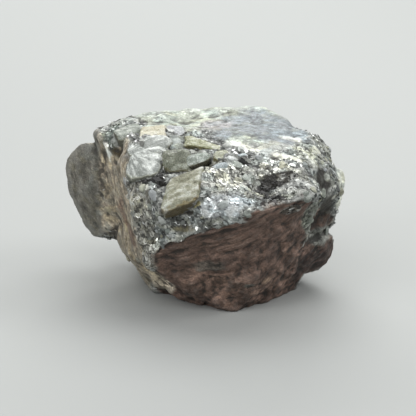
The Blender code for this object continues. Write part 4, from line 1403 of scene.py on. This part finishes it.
def build_stage():
    """A pale floor that sweeps up into a backdrop: a flat run, a quarter round and a wall, as a grid."""
    material = bpy.data.materials.new("pale_studio_paper")
    material.use_nodes = True
    shader = material.node_tree.nodes["Principled BSDF"]
    shader.inputs["Base Color"].default_value = (*STAGE_COLOR, 1.0)
    shader.inputs["Roughness"].default_value = 0.9
    turns = np.linspace(0.0, 0.5 * math.pi, SWEEP_STEPS)
    sweep = np.stack([
        FLOOR_BACK - SWEEP_RADIUS + SWEEP_RADIUS * np.sin(turns),
        SWEEP_RADIUS * (1.0 - np.cos(turns)),
    ], axis=1)
    profile = np.concatenate([[(FLOOR_FRONT, 0.0)], sweep, [(FLOOR_BACK, WALL_HEIGHT)]])
    points = np.zeros((len(profile), 2, 3))
    points[..., 0] = (-FLOOR_HALF_WIDTH, FLOOR_HALF_WIDTH)
    points[..., 1:] = profile[:, None]
    rows = np.arange(len(profile) - 1)
    quads = np.stack([2 * rows, 2 * rows + 1, 2 * rows + 3, 2 * rows + 2], axis=1)
    mesh_piece("studio_floor", points.reshape(-1, 3) - CENTRING, quads, material)


def add_softbox(name, place, aim, size, power):
    """A large soft light at place, in millimetres, turned to aim."""
    light = bpy.data.lights.new(name, "AREA")
    light.shape = "RECTANGLE"
    light.size, light.size_y = size[0] * MM, size[1] * MM
    light.energy = power
    lamp = bpy.data.objects.new(name, light)
    bpy.context.scene.collection.objects.link(lamp)
    lamp.location = Vector(place) * MM
    lamp.rotation_euler = (Vector(aim) * MM - lamp.location).to_track_quat("-Z", "Y").to_euler()


def build_camera():
    """The camera in front of the stone, twenty degrees above it."""
    rise = math.radians(ELEVATION)
    camera = bpy.data.cameras.new("camera")
    camera.sensor_width = SENSOR
    camera.lens = FOCAL_PIXELS * SENSOR / FRAME_PIXELS
    camera.clip_start = 0.01
    camera.clip_end = 20.0
    eye = bpy.data.objects.new("camera", camera)
    bpy.context.scene.collection.objects.link(eye)
    eye.location = TARGET + DISTANCE * Vector((0.0, -math.cos(rise), math.sin(rise)))
    eye.rotation_euler = (TARGET - eye.location).to_track_quat("-Z", "Y").to_euler()
    bpy.context.scene.camera = eye


def build_light():
    """Soft studio light: a box overhead, a second high in front, smaller ones aside, and a pale surround."""
    for softbox in SOFTBOXES:
        add_softbox(*softbox)
    world = bpy.data.worlds.new("pale_surround")
    world.use_nodes = True
    background = world.node_tree.nodes["Background"]
    background.inputs[0].default_value = SURROUND_COLOUR
    background.inputs[1].default_value = SURROUND_STRENGTH
    bpy.context.scene.world = world
    bpy.context.scene.view_settings.view_transform = "Standard"


# Finishes of the crystals: dark, middle and light tone, stain and painted shade below, roughness, share of
# bands, glow and, for mica, how metallic
FINISHES = {
    "olive": ((78, 76, 48), (140, 140, 120), (208, 210, 202), (76, 64, 32), 0.24, 0.35, 0.15),
    "beryl": ((46, 50, 36), (94, 98, 80), (160, 164, 151), (54, 50, 30), 0.18, 0.25, 0.2),
    "glassy": ((84, 92, 80), (134, 142, 132), (214, 219, 213), (58, 52, 31), 0.1, 0.25, 0.2),
    "yellow": ((110, 110, 80), (166, 168, 150), (210, 212, 199), (84, 77, 38), 0.22, 0.25, 0.2),
    "ridge": ((82, 82, 46), (136, 138, 106), (204, 206, 194), (66, 60, 28), 0.2, 0.2, 0.2),
    "mica": ((98, 103, 97), (142, 146, 141), (232, 235, 230), (98, 99, 86), 0.28, 0.46, 0.0, 0.2),
    "feldspar": ((156, 148, 120), (182, 178, 158), (212, 210, 196), (134, 121, 94), 0.45, 0.2, 0.1),
    "quartz": ((110, 118, 119), (150, 159, 161), (192, 201, 202), (68, 68, 60), 0.15, 0.2, 0.2),
    "lilac": ((122, 124, 125), (154, 157, 157), (200, 203, 201), (98, 98, 94), 0.25, 0.4, 0.1),
    "knob": ((66, 73, 63), (118, 124, 114), (170, 174, 164), (72, 70, 56), 0.3, 0.12, 0.1),
}


def main():
    """Builds the stone with all its pieces, then the floor, the lights and the camera."""
    groups = {
        "flakes": flake_group(),
        "streaks": streak_group(),
        "mottling": mottle_group(),
        "hollows": hollow_group(),
    }
    finishes = {}
    for name, (dark, middle, light, shade_and_stain, *values) in FINISHES.items():
        tones = [linear(*tone) for tone in (dark, middle, light, shade_and_stain)]
        finishes[name] = crystal_material("crystal_" + name, groups, *tones, *values)
    skin, quads, look, hollow, normals = stone_surface()
    stone = mesh_piece("stone_skin", skin, quads, schist_material(groups), {
        "mineral_colour": look[:, :3],
        "flakes": look[:, 3],
        "streaks": look[:, 4],
        "gloss": look[:, 5],
        "slip": look[:, 6],
        "lined": look[:, 7],
        "depth": np.clip(0.5 + hollow / DEPTH_RANGE, 0.0, 1.0),
    })
    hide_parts(STONE_NODE)
    chance = flaky_chance(skin, quads, look)
    points, faces, values = mica_plates(skin, quads, look[:, :3], chance, PLATE_COUNT, PLATE_SEED)
    sheen = plate_material(groups)
    plates = mesh_piece("mica_plates", points, faces, sheen, values, flat=True)
    points, faces, values = small_grains(skin, quads, look, normals)
    small = mesh_piece("small_grains", points, faces, grain_material(groups), values, flat=True)
    pieces = [stone, plates, small]
    skins, rings, clinging = [], [], []
    for name, finish, *shape in CRYSTALS:
        points, faces, values = crystal_surface(name, *shape)
        pieces.append(mesh_piece(name.replace(" ", "_"), points, faces, finishes[finish], values))
        rings.append(faces + sum(len(skin) for skin in skins))
        skins.append(points)
        clinging.append(values["contact"])
    skins, rings, clinging = (np.concatenate(listed) for listed in (skins, rings, clinging))
    shares = clinging[rings].mean(axis=1)
    chance = areas_of(skins[rings]) * shares * (1.0 - shares)
    colours = np.tile(linear(*CONTACT_COLOUR), (len(skins), 1))
    points, faces, values = mica_plates(skins, rings, colours, chance, CONTACT_PLATES, PLATE_SEED + 1)
    pieces.append(mesh_piece("clinging_mica", points, faces, sheen, values, flat=True))
    for piece in pieces:
        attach(piece, "root")
    build_stage()
    build_light()
    build_camera()


main()
